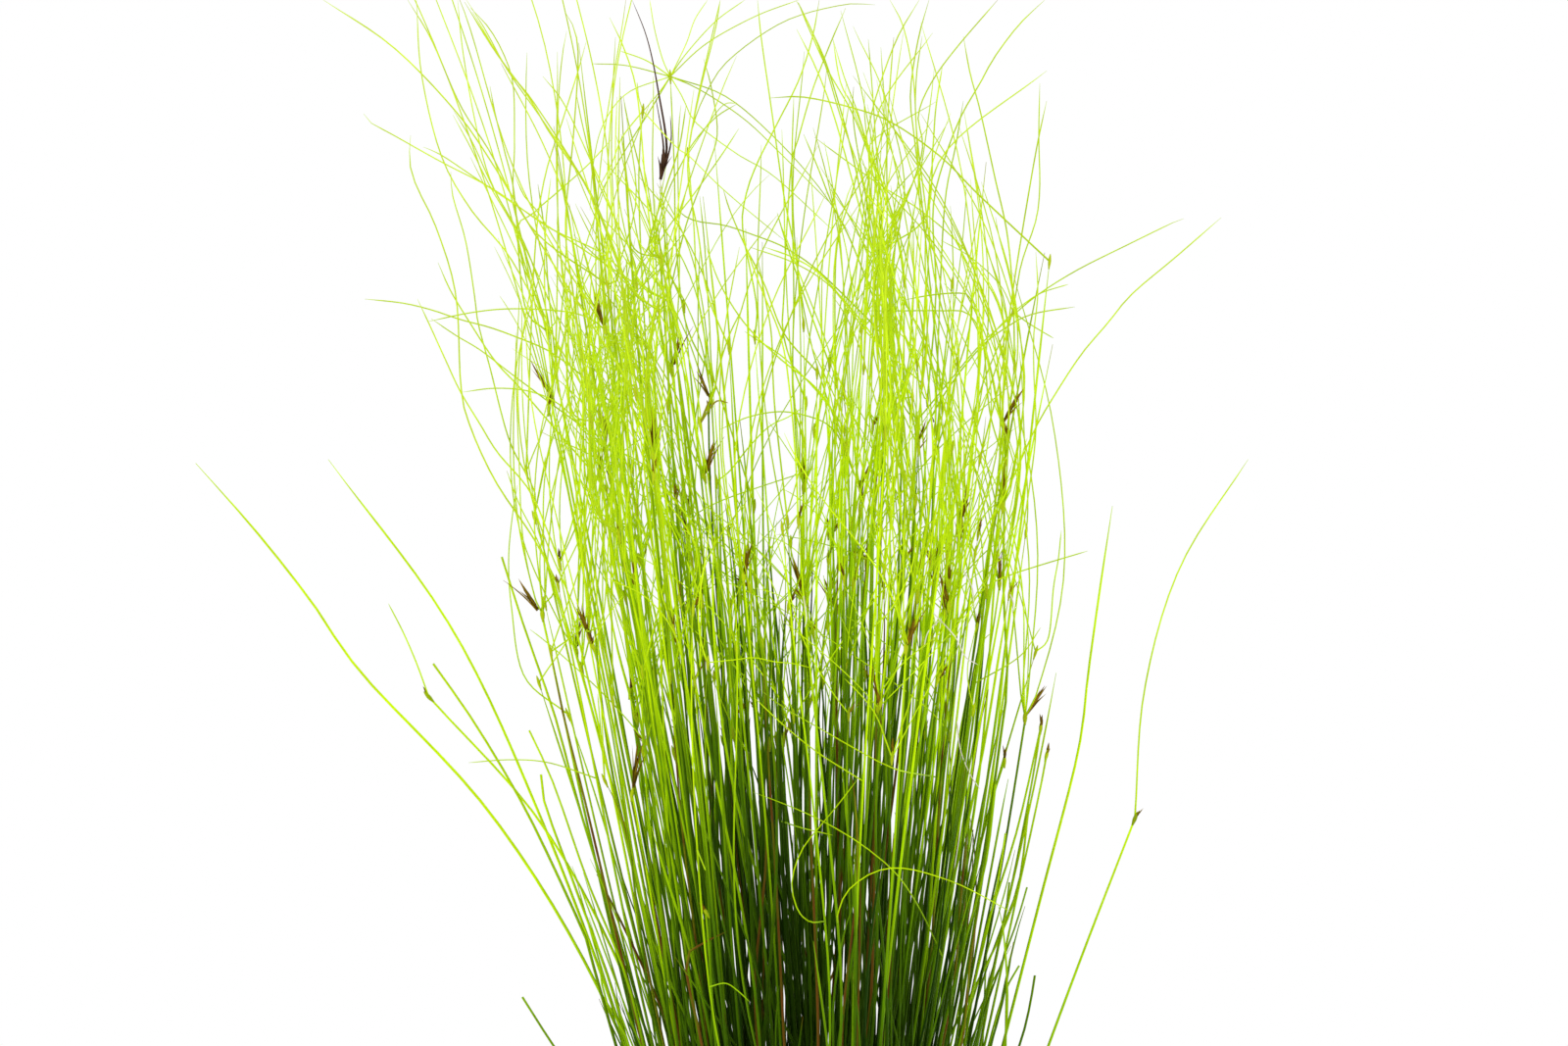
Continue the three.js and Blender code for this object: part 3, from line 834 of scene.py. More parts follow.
def between(path, other, lean, reach, count):
    """A stem that leaves the foot of one path, leans over to another, and ends at a share of their length."""
    own = part_of(path, 0, reach, count)
    theirs = part_of(other, 0, reach, count)
    share = np.linspace(0, reach, count)[:, None]
    return own + (theirs - own) * lean * eased(share / BLEND_END)


# %% Widths, tones and dry tips
# Radii in mm at the foot, in the middle, below the point and at the point.
CULM_RADII = (0.36, 0.27, 0.2, 0.05)
RAY_RADII = (0.18, 0.148, 0.13, 0.03)
WIDTH_SHARES = (0, 0.08, 0.5, 0.93, 1)
LOW_SWELL = 1.1
TONE_MEAN, TONE_DEVIATION = 0.56, 0.26
TIP_DRY_FROM, TIP_DRYNESS = 0.97, 0.75
DRY_CULM_TIPS, DRY_RAY_TIPS = 0.3, 0.08


def stem_widths(count, foot, middle, top, point):
    """Radii from foot to tip: an even taper, then a short sharp point."""
    share = np.linspace(0, 1, count)
    return np.interp(share, WIDTH_SHARES, [foot, middle * LOW_SWELL, middle, top, point]) * MM


def tone_of():
    return min(max(chance.gauss(TONE_MEAN, TONE_DEVIATION), 0), 1)


def dry_tip(count, ripe, likely):
    """How dry each point of a stem is: all of it, or only the last few millimetres."""
    share = np.linspace(0, 1, count)
    return np.maximum(ripe, np.where(share > TIP_DRY_FROM, TIP_DRYNESS, 0.0) * (chance.random() < likely))


def heading_of(path):
    """The direction in which a path ends."""
    return unit(path[-1] - path[-3])


def add_culm(sheaf, path, tone, ripe=0.0, thick=1.0, open_tip=True):
    foot, middle, top, point = CULM_RADII
    widths = stem_widths(len(path), foot, middle, top, point if open_tip else top) * thick
    dry = dry_tip(len(path), ripe, DRY_CULM_TIPS) if open_tip else ripe
    sheaf.tube(path, widths, sides=8, tone=tone, ripe=dry, ribs=0.1)


def add_ray(sheaf, path, tone, thick=1.0, ripe=0.0, slot=0):
    widths = stem_widths(len(path), *RAY_RADII) * thick
    dry = dry_tip(len(path), ripe, DRY_RAY_TIPS)
    sheaf.tube(path, widths, sides=6, tone=tone, ripe=dry, slot=slot, ribs=0.06)


# %% [markdown]
# ## Planning the culms
# All the culms are planned before any is made, because later pieces are carried by them. The plan keeps
# for each tiller the path of every culm, its tone, how thick and how dry it is, and whether its tip is
# free. Each traced culm is kept, and between them grow 15 companions for each tiller.

# %% Culms on and between the traced ones
COMPANIONS = 15
CROSSING_SHARE = 0.22
CULM_STRICTNESS = 2.5
NEIGHBOUR = 34 * MM
HIGHEST_DEAD = 185 * MM
DEAD_SHARE, DEAD_COMPANIONS = 0.06, 0.1
TRACED_SWAY, COMPANION_SWAY = 0.9 * MM, 4 * MM
SHORTEST_SHARE = 0.3
culms = {k: [] for k in TILLERS}


def plan_culm(k, path, thick=1.0, ripe=0.0, open_tip=True, tone=None):
    tone = tone_of() if tone is None else tone
    culms[k].append({"path": path, "tone": tone, "thick": thick, "ripe": ripe, "open_tip": open_tip})


def neighbours(k):
    """Culms of this tiller and of those whose feet and tips are near it."""
    own = culm_paths[k][0]
    near = list(culm_paths[k])
    for other in TILLERS:
        path = culm_paths[other][0]
        close = abs(path[0] - own[0]).max() < NEIGHBOUR and abs(path[-1][0] - own[-1][0]) < NEIGHBOUR
        if other != k and close:
            near += culm_paths[other]
    return near


def some_reach():
    """The share of a traced culm's length that a new one gets. About every third is a short one."""
    return chance.choice([chance.uniform(0.25, 0.65), chance.uniform(0.6, 0.95), chance.uniform(0.6, 0.98)])


for k in TILLERS:
    for number, path in enumerate(culm_paths[k]):
        dead = number > 0 and path[-1][2] < HIGHEST_DEAD and chance.random() < DEAD_SHARE
        plan_culm(k, wander(path, TRACED_SWAY), chance.uniform(0.9, 1.2), float(dead), open_tip=number > 0)
    pool = neighbours(k)
    for number in range(COMPANIONS):
        path, other = culm_paths[k][number % len(culm_paths[k])], chance.choice(pool)
        if chance.random() < CROSSING_SHARE:
            other = chance.choice(culm_paths[chance.choice(TILLERS)])
        made = between(path, other, chance.uniform(-0.55, 1.4), some_reach(), CULM_POINTS)
        foot_offset = np.array([chance.gauss(0, 0.5), chance.gauss(0, 0.5), 0]) * MM
        made = wander(made + foot_offset, COMPANION_SWAY)
        made = trimmed(made, SHORTEST_SHARE, CULM_STRICTNESS)
        dead = made[-1][2] < HIGHEST_DEAD and chance.random() < DEAD_COMPANIONS
        plan_culm(k, made, chance.uniform(0.7, 1.35), float(dead))
print("Planned", sum(map(len, culms.values())), "culms")

# %% [markdown]
# ## Culms seen in the photograph
# Some culms stand apart and can be followed, among them the dead, reddish-brown ones in the middle.
# Each leaves the bud whose own culm passes nearest, runs up beside that culm, and then goes through the
# pixels. Where the culms stand so close that no white is left between them, a crowd of them follows the
# same few pixels.

# %% Culms that single pixels lead
# How far behind the middle each one stands in mm, how dry it is, and its pixels from low to high.
SEEN_CULMS = [
    (-10, 0.0, [(600, 962), (550, 853), (518, 793), (480, 731), (442, 677)]),
    (-16, 0.0, [(640, 1190), (600, 1115), (565, 1067), (533, 1017)]),
    (-25, 0.0, [(640, 1000), (600, 900), (565, 800), (540, 745)]),
    (5, 0.0, [(620, 920), (590, 820), (567, 733), (535, 640), (512, 568)]),
    (-14, 0.0, [(625, 1010), (585, 900), (556, 820), (552, 790)]),
    (-20, 0.0, [(640, 1060), (618, 1020), (612, 985)]),
    (10, 0.0, [(650, 900), (625, 790), (612, 700), (607, 640)]),
    (-8, 0.0, [(985, 1060), (1003, 960), (1037, 850), (1062, 742)]),
    (12, 0.0, [(1000, 1067), (1020, 960), (1040, 900), (1050, 820)]),
    (0, 0.0, [(1010, 1150), (1040, 1067), (1050, 1030), (1056, 995)]),
    (-18, 0.0, [(975, 1080), (1000, 980), (1018, 900), (1026, 850)]),
    (-12, 0.0, [(990, 1080), (1012, 1010), (1036, 945), (1048, 905)]),
    (6, 0.0, [(985, 1067), (1006, 990), (1024, 940), (1030, 900)]),
    (-24, 0.0, [(960, 1060), (985, 960), (1006, 880), (1016, 800)]),
    (14, 0.0, [(1000, 1100), (1022, 1020), (1040, 985)]),
    (16, 0.0, [(1020, 760), (1028, 690), (1024, 600), (1026, 448)]),
    (-32, 1.0, [(800, 1060), (792, 900), (785, 790), (778, 657)]),
    (-36, 1.0, [(835, 1060), (832, 960), (828, 870), (826, 805)]),
    (-30, 0.9, [(890, 1000), (893, 850), (894, 760), (893, 690)]),
    (-22, 1.0, [(640, 1000), (600, 830), (575, 730), (562, 665)]),
    (-15, 0.9, [(655, 960), (640, 850), (617, 796)]),
    (-20, 1.0, [(975, 990), (980, 920), (987, 850)]),
    (-24, 0.9, [(985, 1040), (990, 980), (1000, 920)]),
    (-34, 1.0, [(715, 1060), (700, 990), (704, 970), (742, 950)]),
]
# How many culms a crowd has, how far they spread in pixels, and where it runs.
CROWDS = [
    (13, 15, [(835, 1000), (828, 800), (822, 640), (818, 480)]),
    (22, 17, [(858, 1000), (862, 800), (866, 600), (872, 360)]),
    (14, 15, [(885, 1000), (900, 800), (912, 620), (922, 400)]),
    (12, 13, [(720, 1000), (690, 820), (655, 640), (628, 420)]),
    (8, 14, [(740, 1000), (716, 800), (700, 640), (690, 500)]),
    (8, 15, [(800, 1000), (790, 800), (790, 680), (792, 570)]),
    (9, 10, [(672, 1130), (640, 1040), (612, 950), (585, 860)]),
    (9, 10, [(985, 1130), (1008, 1040), (1022, 950), (1036, 860)]),
    (9, 12, [(960, 1100), (975, 1000), (992, 880), (1008, 730)]),
    (10, 14, [(930, 1000), (948, 820), (962, 680), (975, 540)]),
    (8, 9, [(700, 950), (668, 800), (640, 680), (628, 540)]),
]


# %% Lead the culms from their buds
OWN_POINTS_APART = 4
CROWD_DEPTH = 20
CROWD_SWAY = 2.6 * MM


def led_culm(points):
    """The tiller whose culm passes nearest to the first point, and a path from its bud through them all."""
    def gap(k):
        path = culm_paths[k][0]
        return np.linalg.norm(path - points[0], axis=1).min()
    k = min(TILLERS, key=gap)
    path = culm_paths[k][0]
    at = int(np.linalg.norm(path - points[0], axis=1).argmin())
    own = path[:at] + (points[0] - path[at]) * eased(np.linspace(0, 1, at + 1))[:-1, None]
    return k, smooth_path(np.vstack([own[::OWN_POINTS_APART], points]), CULM_POINTS)


for depth, ripe, pixels in SEEN_CULMS:
    k, path = led_culm(np.array([at_pixel(column, row, depth * MM) for column, row in pixels]))
    plan_culm(k, path, chance.uniform(1.0, 1.3), ripe, ripe > 0, chance.uniform(0.5, 0.85))
for count, half, pixels in CROWDS:
    for _ in range(count):
        depth = chance.gauss(0, CROWD_DEPTH) * MM
        spread = np.linspace(chance.gauss(0, 0.7), chance.gauss(0, 1.4), len(pixels)) * half
        points = np.array([at_pixel(c + s, r, depth) for (c, r), s in zip(pixels, spread)])
        k, path = led_culm(points)
        path = wander(part_of(path, 0, chance.uniform(0.74, 1), CULM_POINTS), CROWD_SWAY)
        path = trimmed(path, SHORTEST_SHARE, CULM_STRICTNESS)
        plan_culm(k, path, chance.uniform(0.75, 1.2), float(chance.random() < DEAD_SHARE))
print("With those that the photograph shows apart:", sum(map(len, culms.values())))

# %% [markdown]
# ## Spikelets
# A spikelet is a slim, dry brown cone, 2 to 8 mm long, of a few narrow pointed scales that gape a little at
# the tip. It is the darkest mark on the plant, and the umbrella of rays that gives the plant its name
# leaves from its foot. Each scale is a flat, cupped tube, set round the axis by the golden angle as on a
# real spikelet. A small swollen knot joins the culm, the spikelet and the rays.

# %% Spikelet of overlapping scales
GOLDEN_TURN = math.radians(137.5)
SCALE_SHAPE = ([0, 0.25, 0.6, 1], [0.6, 1, 0.7, 0.04])
SCALE_INSET = 0.16 * MM
HIGHEST_ROOT = 0.38


def across_axis(axis):
    """Two directions across an axis that doesn't point straight back."""
    right = unit(np.cross(axis, (0.2, 1, 0.1)))
    return right, np.cross(axis, right)


def spikelet(sheaf, foot, tip, scales, slot, gape=0.12, half_width=0.4):
    """Scales round the line from foot to tip. The lower ones are shorter and stand off more."""
    axis = tip - foot
    length = np.linalg.norm(axis)
    axis = axis / length
    right, ahead = across_axis(axis)
    start_turn = chance.uniform(0, 6)
    t = np.linspace(0, 1, 8)[:, None]
    for number in range(scales):
        share = number / max(scales - 1, 1)
        turn = start_turn + number * GOLDEN_TURN
        out = right * math.cos(turn) + ahead * math.sin(turn)
        root = foot + axis * length * (0.02 + HIGHEST_ROOT * share) + out * SCALE_INSET
        reach = length * (0.52 + 0.25 * chance.random()) * (1 - 0.12 * share)
        open_out = gape * (1.25 - 0.7 * share) * chance.uniform(0.4, 1.6)
        path = root + axis * reach * t + out * reach * open_out * (0.35 * t + 0.9 * t**2)
        width = half_width * MM * chance.uniform(0.7, 1.1) * np.interp(t[:, 0], *SCALE_SHAPE)
        sheaf.tube(path, width, sides=8, tone=chance.random(), slot=slot, flat=0.25,
                   facing=np.cross(out, axis), cup=0.35)


# %% Knots and needles
# A full knot in mm: where it begins and ends along the stem, and its radii.
KNOT_REACH = (-1.6, 1.5)
KNOT_RADII = (0.24, 0.3, 0.42, 0.5, 0.5, 0.42, 0.3, 0.12)
NEEDLE_RADII = (0.18, 0.15, 0.03)


def knot(sheaf, middle, axis, radius):
    """The swollen node where culm, spikelet and rays meet. The radius is its largest, in mm."""
    t = np.linspace(*KNOT_REACH, len(KNOT_RADII))[:, None] * MM
    width = np.array(KNOT_RADII) * radius / max(KNOT_RADII) * MM
    sheaf.tube(middle + axis * t, width, sides=8, tone=chance.uniform(0.3, 0.7), ripe=0.45, ribs=0.08)


def needles(sheaf, foot, axis, count, slot):
    """Short dark rays that died back to stiff points beside the spikelet."""
    right, ahead = across_axis(axis)
    for _ in range(count):
        turn, reach = chance.uniform(0, 6.3), chance.uniform(4, 9) * MM
        out = right * math.cos(turn) + ahead * math.sin(turn)
        t = np.linspace(0, 1, 8)[:, None]
        path = foot + (axis * t + out * (0.12 * t + 0.16 * t**2)) * reach
        width = np.interp(t[:, 0], [0, 0.5, 1], NEEDLE_RADII) * MM
        sheaf.tube(path, width, sides=6, tone=chance.uniform(0, 0.4), slot=slot)


# %% [markdown]
# ## Spikelets seen in the photograph
# Beside those that the CAD model holds, the photograph shows smaller spikelets on culms of their own. Each
# is given by the pixels of its foot and tip. A new culm follows the nearest traced one, at the same depth,
# and moves over to end at the spikelet's foot.

# %% Spikelets on culms of their own
# The pixels of foot and tip, and the number of scales.
SEEN_HEADS = [
    ((978, 562), (983, 514), 7),
    ((964, 625), (962, 604), 5),
    ((953, 598), (951, 580), 3),
    ((968, 595), (971, 572), 4),
    ((672, 453), (671, 432), 4),
    ((667, 486), (668, 466), 4),
    ((690, 512), (689, 490), 3),
    ((612, 482), (613, 454), 4),
    ((560, 417), (561, 398), 3),
    ((643, 706), (646, 684), 5),
    ((645, 810), (653, 746), 6),
    ((605, 659), (600, 640), 4),
    ((850, 770), (845, 750), 4),
    ((896, 722), (897, 704), 4),
    ((1025, 776), (1025, 760), 3),
    ((1026, 448), (1026, 428), 4),
    ((1032, 606), (1031, 586), 5),
    ((1062, 742), (1063, 728), 3),
    ((1068, 770), (1071, 757), 3),
    ((766, 600), (748, 586), 5),
    ((821, 614), (810, 598), 5),
    ((723, 418), (723, 404), 3),
    ((880, 510), (877, 486), 4),
    ((700, 620), (704, 600), 3),
    ((712, 612), (715, 590), 3),
    ((770, 700), (768, 684), 3),
    ((720, 930), (714, 920), 3),
]

# %% Culms for the seen spikelets
heads = {k: [] for k in TILLERS}
traced_culms = [(k, path) for k in TILLERS for path in culm_paths[k]]
HEAD_CULM_SWAY = 2 * MM
LATE_LEAN = 1.5


def nearest_culm(column, row):
    """The traced culm that passes nearest to a pixel, up to the point nearest to it."""
    found = []
    for k, path in traced_culms:
        columns, rows = pixels_of(path)
        away = np.hypot(columns - column, rows - row)
        found.append((away.min(), k, path[:away.argmin() + 1]))
    return min(found, key=lambda entry: entry[0])[1:]


for foot_pixel, tip_pixel, scales in SEEN_HEADS:
    k, own = nearest_culm(*foot_pixel)
    depth = own[-1][1]
    foot, tip = at_pixel(*foot_pixel, depth), at_pixel(*tip_pixel, depth - 1 * MM)
    share = np.linspace(0, 1, len(own))[:, None]
    path = even_path(own + (foot - own[-1]) * eased(share) ** LATE_LEAN, CULM_POINTS)
    plan_culm(k, wander(path, HEAD_CULM_SWAY), chance.uniform(0.8, 1.1), open_tip=False)
    heads[k].append({"foot": foot, "tip": tip, "scales": scales})
print("Spikelets on culms of their own:", len(SEEN_HEADS))

# %% [markdown]
# ## Tillers
# A tiller is a bud on the rootstock with its culms. The bud is wrapped in brown scale leaves, and each culm
# wears a short reddish sheath at its foot. All are tubes in one mesh per tiller, which keeps a sheath on its
# own culm and makes the piece that replaces the CAD tiller.

# %% Sheaths and buds
SHEATH_SHAPE = ([0, 0.15, 0.9, 1], [0.46, 0.5, 0.38, 0.28])
SHEATH_SLANT = 0.6 * MM
SHEATH_SLOT, BUD_SLOT = 1, 2
BUD_POINTS, BUD_LEAVES = 9, 8
BUD_LOW, BUD_HIGH = 10.5 * MM, 18.6 * MM
BUD_SHAPE = ([BUD_LOW, 14 * MM, 17 * MM, BUD_HIGH], [1.6, 1.9, 1.6, 0.7])


def add_sheath(sheaf, path, thick=1.0):
    """A close brown sleeve with a slanting mouth at a culm's foot."""
    reach = chance.uniform(0.04, 0.15)
    sleeve = part_of(path, 0, reach, 8)
    widths = np.interp(np.linspace(0, 1, 8), *SHEATH_SHAPE) * MM * thick
    sheaf.tube(sleeve, widths, sides=8, tone=chance.random(), slot=SHEATH_SLOT, slant=SHEATH_SLANT)


def add_bud(sheaf, feet):
    """A short swollen bud under the culms, wrapped in scale leaves."""
    middle = np.mean(feet, axis=0)
    rise = np.linspace(BUD_LOW, BUD_HIGH, BUD_POINTS)
    path = np.stack([np.full(BUD_POINTS, middle[0]), np.full(BUD_POINTS, middle[1]), rise], 1)
    widths = np.interp(rise, *BUD_SHAPE) * MM
    sheaf.tube(path, widths, sides=16, tone=chance.random(), slot=BUD_SLOT, ribs=0.05)
    t = np.linspace(0, 1, 8)[:, None]
    for number in range(BUD_LEAVES):
        turn = number * GOLDEN_TURN + chance.uniform(0, 0.5)
        out = np.array([math.cos(turn), math.sin(turn), 0])
        rise = np.array([0, 0, 1]) * (8 + 6 * chance.random()) * MM * t
        wrap = path[0] + rise + out * np.interp(t, [0, 0.3, 0.7, 1], [1.45, 1.95, 1.6, 1.2]) * MM
        width = np.interp(t[:, 0], [0, 0.4, 1], [0.7, 1.0, 0.06]) * MM
        sheaf.tube(wrap, width, sides=8, tone=chance.random(), slot=BUD_SLOT, flat=0.14,
                   facing=np.cross(out, (0, 0, 1)), cup=0.3)


# %% Make the tillers
triangles = {}
for k in TILLERS:
    sheaf = Sheaf()
    add_bud(sheaf, [path[0] for path in culm_paths[k]])
    for culm in culms[k]:
        add_culm(sheaf, culm["path"], culm["tone"], culm["ripe"], culm["thick"], culm["open_tip"])
        add_sheath(sheaf, culm["path"], culm["thick"])
    piece = sheaf.piece(f"culms_{k:02d}", [culm_green, sheath_brown, bud_brown], "culm")
    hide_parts(f"tiller_{k:02d}")
    triangles[piece.name] = sheaf.triangles
print("Tiller pieces have up to", max(triangles.values()), "triangles")

# %% [markdown]
# ## Rays seen in the photograph
# Rays are what gives the tuft its outline, and many can be followed one by one. Each line below lists a few
# pixels that one ray passes, from low to high. It grows from the culm end that lies best in line with it,
# so it is carried by the plant from every side, and its depth changes slowly on the way up.

# %% Pixels that single rays pass
SEEN_RAYS = [
    # The upper left, out to the picture's edge.
    [(560, 262), (500, 163), (462, 110), (400, 47), (330, 0)],
    [(560, 335), (520, 262), (480, 213), (450, 158), (430, 75), (425, 0)],
    [(545, 235), (500, 155), (470, 108), (440, 40), (416, 0)],
    [(565, 320), (530, 240), (500, 183), (484, 120), (472, 50), (467, 0)],
    [(640, 290), (604, 200), (562, 137), (540, 100), (505, 52), (474, 2)],
    [(650, 320), (606, 203), (556, 126), (520, 75), (495, 30), (476, 0)],
    [(632, 275), (598, 190), (545, 105), (517, 70), (482, 12)],
    [(526, 215), (525, 150), (524, 90), (516, 60), (500, 30), (480, 8)],
    [(650, 300), (620, 262), (560, 232), (505, 194), (450, 165), (400, 137), (378, 125), (371, 116)],
    [(520, 205), (480, 178), (450, 158), (432, 150)],
    [(545, 550), (505, 490), (478, 430), (470, 390), (465, 300), (445, 232), (425, 190), (418, 165),
     (419, 138)],
    [(545, 500), (520, 450), (500, 375), (488, 330), (484, 300), (475, 245), (462, 200), (460, 175)],
    [(548, 300), (530, 243), (500, 190), (480, 150), (462, 117)],
    [(560, 330), (538, 255), (505, 195), (482, 145), (463, 113)],
    [(535, 310), (525, 200), (515, 155), (505, 115), (500, 88)],
    [(585, 300), (577, 230), (585, 140), (590, 60), (586, 30), (577, 13)],
    [(545, 270), (555, 185), (575, 120), (590, 72), (598, 43)],
    [(650, 285), (620, 203), (600, 158), (575, 105), (554, 78)],
    [(645, 260), (610, 185), (595, 130), (588, 95)],
    [(668, 300), (658, 180), (650, 95), (637, 50), (622, 18)],
    [(575, 260), (550, 218), (535, 200), (525, 178)],
    [(560, 300), (556, 240), (549, 188)],
    [(556, 300), (557, 230), (562, 182)],
    [(528, 240), (545, 217), (570, 195), (600, 168), (625, 141)],
    [(645, 250), (640, 185), (634, 137)],
    [(678, 265), (668, 230), (650, 160), (640, 120), (636, 98)],
    [(662, 250), (680, 190), (693, 150), (700, 108)],
    # The left side.
    [(560, 545), (540, 500), (508, 462), (490, 433), (470, 400), (455, 368), (440, 335), (426, 305)],
    [(590, 380), (560, 358), (530, 345), (500, 334), (470, 326), (440, 316), (410, 309), (372, 305)],
    [(622, 342), (600, 324), (570, 317), (520, 315), (480, 319), (437, 328)],
    [(600, 440), (560, 410), (520, 380), (490, 357), (465, 342), (440, 325)],
    [(600, 440), (570, 412), (540, 399), (505, 396), (472, 400)],
    [(560, 430), (530, 395), (505, 368), (480, 330), (460, 297), (447, 268)],
    [(565, 600), (550, 555), (530, 515), (517, 480)],
    [(535, 690), (522, 620), (519, 570), (523, 525), (528, 495)],
    # Between the two sprays.
    [(722, 300), (712, 235), (703, 190), (703, 150), (715, 90), (730, 30), (735, 0)],
    [(812, 260), (800, 200), (787, 110), (777, 40), (773, 0)],
    [(800, 345), (800, 300), (803, 230), (808, 165), (815, 140), (828, 95), (845, 50), (863, 8)],
    [(809, 400), (810, 300), (808, 180), (810, 98)],
    [(655, 285), (680, 235), (705, 202), (735, 160), (754, 131)],
    [(668, 250), (680, 200), (695, 168), (708, 145), (730, 120), (752, 106)],
    [(890, 330), (860, 300), (830, 272), (800, 252), (770, 240), (740, 230), (713, 226), (698, 220),
     (688, 210)],
    [(800, 340), (780, 290), (760, 250), (745, 215), (738, 193)],
    [(740, 420), (727, 380), (724, 330), (719, 250), (714, 200)],
    [(820, 300), (803, 250), (793, 217)],
    [(870, 250), (850, 210), (835, 172), (820, 137)],
    [(728, 400), (735, 370), (745, 340), (758, 314)],
    [(850, 420), (830, 395), (800, 365), (770, 345), (760, 338)],
    [(745, 480), (765, 455), (785, 435), (805, 425), (820, 415)],
    [(852, 440), (835, 428), (800, 420), (765, 425), (735, 438)],
    [(812, 470), (806, 400), (797, 345), (775, 290), (757, 240)],
    [(792, 430), (789, 390), (787, 340), (780, 300), (773, 262)],
    [(850, 420), (830, 393), (795, 365), (760, 330), (735, 290), (720, 250)],
    [(880, 450), (866, 412), (850, 370), (838, 335), (820, 290), (803, 245), (795, 225)],
    [(905, 365), (885, 335), (860, 305), (835, 278), (808, 262), (780, 252)],
    [(890, 345), (870, 320), (845, 290), (810, 268), (765, 252)],
    [(700, 230), (723, 168), (732, 135), (726, 90), (718, 60)],
    [(772, 310), (758, 235), (761, 200), (772, 168), (792, 128), (815, 82), (829, 38), (836, 0)],
    [(1000, 200), (960, 160), (910, 125), (870, 110), (820, 99), (785, 100)],
    # The upper right.
    [(915, 240), (900, 195), (884, 150), (868, 112), (845, 72), (828, 35), (814, 2)],
    [(920, 260), (905, 200), (890, 160), (874, 115), (858, 85), (850, 40)],
    [(942, 230), (936, 150), (932, 80), (922, 28), (908, 0)],
    [(1020, 315), (1005, 285), (980, 250), (940, 215), (900, 190), (865, 165), (831, 140)],
    [(905, 300), (885, 240), (870, 185), (850, 115), (832, 68), (813, 30)],
    [(900, 300), (886, 235), (868, 150), (845, 70), (830, 35), (815, 3)],
    [(900, 280), (880, 185), (858, 120), (840, 60), (822, 18), (812, 0)],
    [(910, 300), (897, 210), (880, 130), (862, 80), (850, 40)],
    [(900, 260), (893, 135), (890, 90), (886, 40)],
    [(852, 300), (855, 245), (870, 195), (885, 135), (895, 95), (915, 40), (938, 0)],
    [(950, 300), (940, 200), (933, 140), (929, 95), (937, 40), (948, 0)],
    [(955, 290), (945, 215), (935, 130), (935, 80), (941, 37)],
    [(940, 160), (937, 118), (950, 85), (975, 50), (1018, 0)],
    [(955, 300), (952, 215), (963, 165), (980, 120), (1000, 85), (1015, 58), (1040, 25), (1066, 0)],
    [(1034, 310), (1028, 240), (1015, 180), (1000, 112), (990, 75), (983, 37)],
    [(1030, 330), (1042, 270), (1057, 225), (1061, 190), (1060, 140), (1061, 85)],
    [(1022, 380), (1033, 300), (1045, 225), (1058, 150), (1068, 103)],
    [(960, 280), (965, 200), (975, 150), (983, 103)],
    [(905, 290), (905, 150), (908, 90), (912, 38)],
    [(945, 220), (952, 150), (955, 110), (962, 65)],
    # The right side.
    [(972, 385), (1000, 352), (1030, 325), (1060, 300), (1100, 275), (1150, 250), (1195, 228), (1208, 223)],
    [(1005, 540), (1028, 500), (1055, 440), (1075, 405), (1103, 362), (1130, 330), (1155, 300), (1200, 262),
     (1246, 222)],
    [(965, 400), (1000, 355), (1030, 332), (1055, 320), (1097, 313)],
    [(1040, 560), (1050, 500), (1057, 440), (1055, 380), (1055, 340), (1059, 300), (1057, 257)],
    [(1005, 600), (1030, 587), (1060, 577), (1110, 562)],
    [(1070, 650), (1075, 600), (1080, 570), (1083, 541)],
    [(968, 420), (975, 385), (987, 345), (992, 315), (988, 301), (975, 299), (950, 301), (923, 306)],
    [(1010, 420), (1003, 350), (988, 320), (960, 317), (920, 317), (880, 317)],
]

# %% Culm ends that can carry rays
LOWEST_WHORL = 95 * MM
# The rays of its own that a traced culm end carries count as this many new ones.
MAIN_LOAD = 2
whorl_places = []
for k in TILLERS:
    for culm in culms[k]:
        end = culm["path"][-1]
        if end[2] > LOWEST_WHORL and (culm["open_tip"] or culm is culms[k][0]):
            main = not culm["open_tip"]
            whorl_places.append({
                "k": k, "end": spikelet_axes[k][0] if main else end, "main": main,
                "heading": heading_of(culm["path"]), "load": MAIN_LOAD if main else 0,
            })
place_ends = np.array([place["end"] for place in whorl_places])
print("Culm ends that can carry rays:", len(whorl_places))

# %% Hang the seen rays on culm ends
DEPTH_SPREAD = 9 * MM
# What a candidate costs: its distance, more for a turn in radians, and its load. One above is ruled out.
STRAIGHT_COST, TURN_COST, LOAD_COST = 0.5, 1.5, 6 * MM
LEAST_RISE, RULED_OUT = 2 * MM, 9.0


def best_place(first, second):
    """The culm end below the first point that lies best in line with the ray and carries few rays so far."""
    gap = (first - place_ends)[:, [0, 2]]
    away = np.linalg.norm(gap, axis=1)
    heading = unit((second - first)[[0, 2]])
    turn = np.arccos(np.clip(gap @ heading / away, -1, 1))
    load = np.array([place["load"] for place in whorl_places])
    cost = away * (STRAIGHT_COST + TURN_COST * turn) + load * LOAD_COST
    cost += np.where(gap[:, 1] < LEAST_RISE, RULED_OUT, 0.0)
    place = whorl_places[cost.argmin()]
    place["load"] += 1
    return place


def seen_path(pixels, start, end_depth, count):
    """A smooth path from a point on the plant through these pixels."""
    depths = np.linspace(start[1], end_depth, len(pixels) + 1)[1:]
    points = [start] + [at_pixel(c, r, depth) for (c, r), depth in zip(pixels, depths)]
    return smooth_path(points, count)


def led_ray(pixels, count):
    """A ray through these pixels, with the number of the tiller that carries it."""
    place = best_place(at_pixel(*pixels[0]), at_pixel(*pixels[1]))
    start = place["end"]
    return place["k"], seen_path(pixels, start, start[1] + chance.gauss(0, 1) * DEPTH_SPREAD, count)


